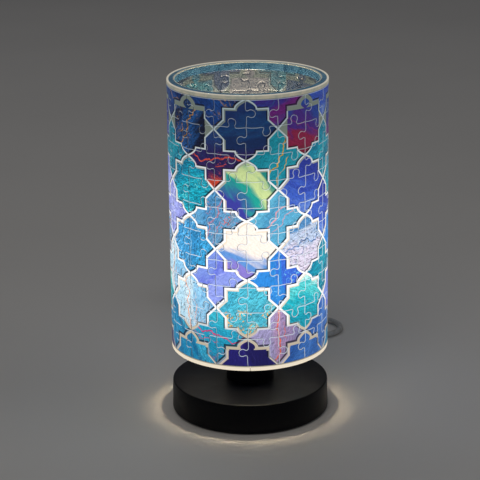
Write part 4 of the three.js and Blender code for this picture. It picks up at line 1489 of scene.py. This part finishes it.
def make_boot(materials):
    """The tapered strain relief, with rings that let it bend."""
    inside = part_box("cord_boot")[0].y
    wall = inside + 5.2 * MM
    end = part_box("cord_boot")[1].y
    bore = 2.05 * MM
    profile = [
        (bore, inside),
        (5.2 * MM, inside),
        (5.2 * MM, inside + 2 * MM),
        (3.2 * MM, inside + 2 * MM),
        (3.2 * MM, wall),
        (4.6 * MM, wall),
        (4.6 * MM, wall + 1.6 * MM),
    ]
    rings = 7
    pitch = (end - wall - 3 * MM) / rings
    for i in range(rings):
        start = wall + 2 * MM + i * pitch
        radius = (4.1 - 1.1 * i / rings) * MM
        groove = radius - 0.55 * MM
        profile += [
            (groove, start),
            (groove, start + 0.35 * pitch),
            (radius, start + 0.42 * pitch),
            (radius - 0.1 * MM, start + 0.95 * pitch),
        ]
    profile += [(2.75 * MM, end), (bore, end)]
    boot = spin("cord_relief", rounded(profile, 0.3 * MM), 48)
    turn = Matrix.Rotation(-math.pi / 2, 4, "X")
    boot.data.transform(Matrix.Translation((0, 0, CORD_EXIT[2])) @ turn)
    steady_normals(boot)
    return finish_piece(boot, "base", "rubber", "cord_boot", materials=materials)


def level_section(outline, centre, height):
    return [(centre.x + x, centre.y + y, height) for x, y in outline]


def make_switch(materials):
    """The inline switch: two shells, softly crowned, and a rocker in its window."""
    length = 58 * MM
    width = 26 * MM
    corner = 9 * MM
    low, split = (c.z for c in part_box("switch_case_lower"))
    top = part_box("switch_case_upper")[1].z

    def section(shrink, height):
        outline = rounded_rectangle(length - 2 * shrink, width - 2 * shrink, corner - shrink)
        return level_section(outline, SWITCH_CENTRE, height)

    seam = 0.15 * MM
    lower = [
        section(2.2 * MM, low),
        section(0.9 * MM, low + 0.4 * MM),
        section(0.2 * MM, low + 1.6 * MM),
        section(0.0, low + 3 * MM),
        section(0.0, split - 0.4 * MM),
        section(0.35 * MM, split - seam),
    ]
    upper = [
        section(0.35 * MM, split + seam),
        section(0.0, split + 0.6 * MM),
        section(0.0, split + 2.2 * MM),
        section(0.5 * MM, top - 2.9 * MM),
        section(1.5 * MM, top - 1.4 * MM),
        section(3.0 * MM, top - 0.5 * MM),
        section(5.2 * MM, top - 0.1 * MM),
        section(7.5 * MM, top),
    ]
    case_low = loft("switch_shell_lower", lower)
    case_high = loft("switch_shell_upper", upper)
    window = rounded_rectangle(20.6 * MM, 10.8 * MM, 0.9 * MM)
    heights = (split + 0.6 * MM, top + 2 * MM)
    cutter = loft("window", [level_section(window, SWITCH_CENTRE, z) for z in heights])
    carve(case_high, cutter)
    finish_piece(case_low, "base", "white_plastic", "switch_case_lower", materials=materials)
    finish_piece(case_high, "base", "white_plastic", "switch_case_upper", materials=materials)
    for case in (case_low, case_high):
        case.data.set_sharp_from_angle(angle=math.radians(40))
    return [case_low, case_high, make_rocker(materials)]


def make_rocker(materials):
    """The rocker: a shallow V with a row of fine grip ribs on each side."""
    half = 9.0 * MM
    outline = [(-half + 1.2 * MM, -1.2 * MM), (half - 1.2 * MM, -1.2 * MM), (half, 3.6 * MM)]
    steps = 36
    for i in range(steps + 1):
        x = half - 0.8 * MM - (2 * half - 1.6 * MM) * i / steps
        share = abs(x) / half
        dish = 3.0 * MM + 1.2 * MM * share**1.5
        rib = 0.16 * MM * math.sin(x / (0.32 * MM)) if 0.35 < share < 0.85 else 0.0
        outline.append((x, dish + rib))
    outline.append((-half, 3.6 * MM))
    low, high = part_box("switch_rocker")
    middle_y = (low.y + high.y) / 2
    half_width = (high.y - low.y) / 2
    sections = []
    for share, shrink in ((-1, 0.35), (-0.93, 0.08), (-0.8, 0), (0.8, 0), (0.93, 0.08), (1, 0.35)):
        scale = 1 - shrink * MM / half
        sections.append([(x * scale, share * half_width, z * scale) for x, z in outline])
    rocker = loft("rocker_key", sections)
    tilt = Matrix.Rotation(math.radians(10), 4, "Y")
    pivot = Matrix.Translation((SWITCH_CENTRE.x, middle_y, 12 * MM))
    rocker.data.transform(pivot @ tilt)
    steady_normals(rocker)
    return finish_piece(rocker, "rocker", "white_plastic", "switch_rocker", materials=materials)


def make_plug(materials):
    """A flat two-pin plug, narrow at the cord and wide at the pins, with finger grooves."""
    stations = [  # along the plug, half its width and half its height there, in mm
        (0.0, 3.4, 3.4),
        (0.8, 4.0, 4.0),
        (5.0, 6.0, 4.6),
        (9.0, 8.5, 5.4),
        (13.0, 11.6, 6.1),
        (16.5, 14.4, 6.6),
        (19.0, 16.0, 6.85),
        (20.2, 15.4, 6.5),
        (21.4, 15.4, 6.5),
        (22.6, 16.6, 6.85),
        (23.8, 16.0, 6.5),
        (25.0, 16.0, 6.5),
        (26.2, 17.2, 6.85),
        (30.5, 17.5, 6.85),
        (33.0, 17.2, 6.6),
        (34.0, 16.2, 5.8),
    ]
    sections = []
    for along, half_width, half_height in stations:
        corner = min(half_height, half_width) * 0.96 * MM
        outline = rounded_rectangle(2 * half_width * MM, 2 * half_height * MM, corner)
        x = PLUG_REAR.x - along * MM
        sections.append([(x, PLUG_REAR.y + y, PLUG_REAR.z + z) for y, z in outline])
    body = loft("plug_shell", sections)
    body.data.set_sharp_from_angle(angle=math.radians(55))
    finish_piece(body, "base", "white_plastic", "plug_body", materials=materials)
    return [body, make_pin(1, materials), make_pin(2, materials)]


def make_pin(number, materials):
    """One of the plug's round pins, rounded at its tip."""
    node = f"plug_pin_{number}"
    low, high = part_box(node)
    middle = (low.y + high.y) / 2
    reach = high.x - low.x
    profile = [(0, 0), (2 * MM, 0), (2 * MM, reach - 1 * MM), (1.2 * MM, reach), (0, reach)]
    pin = spin(f"pin_{number}", rounded(profile, 0.4 * MM, closed=False), 32, closed=False)
    root = Matrix.Translation((high.x, middle, PLUG_REAR.z))
    pin.data.transform(root @ Matrix.Rotation(-math.pi / 2, 4, "Y"))
    steady_normals(pin)
    return finish_piece(pin, "base", "nickel", node, materials=materials)


def make_tie(materials):
    """The band that holds the coil together."""
    angle = math.radians(250)
    outward = Vector((math.cos(angle), math.sin(angle), 0))
    side = Vector((-outward.y, outward.x, 0))
    height = COIL_LAYERS * COIL_PITCH
    centre = Vector((*COIL_CENTRE, height / 2 + 0.05 * MM)) + outward * COIL_MIDDLE
    width = 2 * (COIL_OUTER - COIL_MIDDLE) + CORD_DIAMETER + 0.6 * MM
    loop = rounded_rectangle(width, height - 0.1 * MM, 2.2 * MM)
    half_width = 2.2 * MM
    thickness = 0.2 * MM
    points = []
    for x, z in loop:
        middle = centre + outward * x + Vector((0, 0, z))
        out = (outward * x / 2.5 + Vector((0, 0, z))).normalized() * thickness
        for across, lift in ((-1, 0), (1, 0), (1, 1), (-1, 1)):
            points.append(middle + side * across * half_width + out * lift)
    count = len(loop)
    faces = []
    for i in range(count):
        k = (i + 1) % count
        for j in range(4):
            n = (j + 1) % 4
            faces.append((4 * i + j, 4 * i + n, 4 * k + n, 4 * k + j))
    tie = new_object("cord_tie", points, faces)
    steady_normals(tie)
    return finish_piece(tie, "base", "matte_black", materials=materials)


# ---------------------------------------------------------------------------------------------
# The CAD nodes that stay
# ---------------------------------------------------------------------------------------------


def dress_cad_nodes(materials):
    """Every CAD node that still shows gets its material and small rounds on its edges."""
    slots = {part["node"]: part["material_slot"] for part in frame["record"]["subparts"]}
    for name, node in frame["nodes"].items():
        if node.hide_render:
            continue
        node.data.materials.clear()
        node.data.materials.append(materials[slots[name]])
        soft_edges(node, 0.15 * MM, 2)


# ---------------------------------------------------------------------------------------------
# Studio
# ---------------------------------------------------------------------------------------------


def area_light(name, place, target, size, power, tint):
    data = bpy.data.lights.new(name, "AREA")
    data.size = size
    data.energy = power
    data.color = tint
    light = bpy.data.objects.new(name, data)
    light.location = place
    aim = Vector(target) - Vector(place)
    light.rotation_euler = aim.to_track_quat("-Z", "Y").to_euler()
    bpy.context.scene.collection.objects.link(light)


def make_studio():
    side = 4.0  # half the width of the floor
    corners = [(-side, -side, 0), (side, -side, 0), (side, side, 0), (-side, side, 0)]
    floor = new_object("floor", corners, [(0, 1, 2, 3)])
    floor.data.materials.append(floor_material())
    area_light("key", (-0.25, -1.0, 1.3), (0, 0, 0.1), 0.8, 3.4, (1.0, 0.97, 0.93))
    area_light("fill", (1.3, -0.3, 0.9), (0, 0, 0.1), 0.8, 1.2, (0.93, 0.96, 1.0))
    area_light("back", (-0.3, 0.9, 1.6), (0, 0, 0.1), 0.9, 1.8, (0.94, 0.97, 1.0))
    world = bpy.data.worlds.new("studio")
    world.use_nodes = True
    background = world.node_tree.nodes["Background"]
    background.inputs["Color"].default_value = (0.9, 0.92, 1.0, 1.0)
    background.inputs["Strength"].default_value = 0.08
    bpy.context.scene.world = world
    bpy.context.scene.view_settings.view_transform = "Standard"


# ---------------------------------------------------------------------------------------------
# The lamp
# ---------------------------------------------------------------------------------------------


def make_lamp():
    materials = make_materials()
    cord = make_cord(materials)
    boot = make_boot(materials)
    switch = make_switch(materials)
    plug = make_plug(materials)
    tie = make_tie(materials)
    make_cover(materials)
    make_neck(materials)
    make_pad(materials)
    make_base_plate(materials)
    make_holder(materials)
    make_carrier(materials)
    make_nut(materials)
    make_nut_washer(materials)
    make_bulb_collar(materials)
    make_globe(materials)
    make_bulb_cap(materials)
    make_shade(materials)
    dress_cad_nodes(materials)


make_camera()
make_lamp()
make_studio()
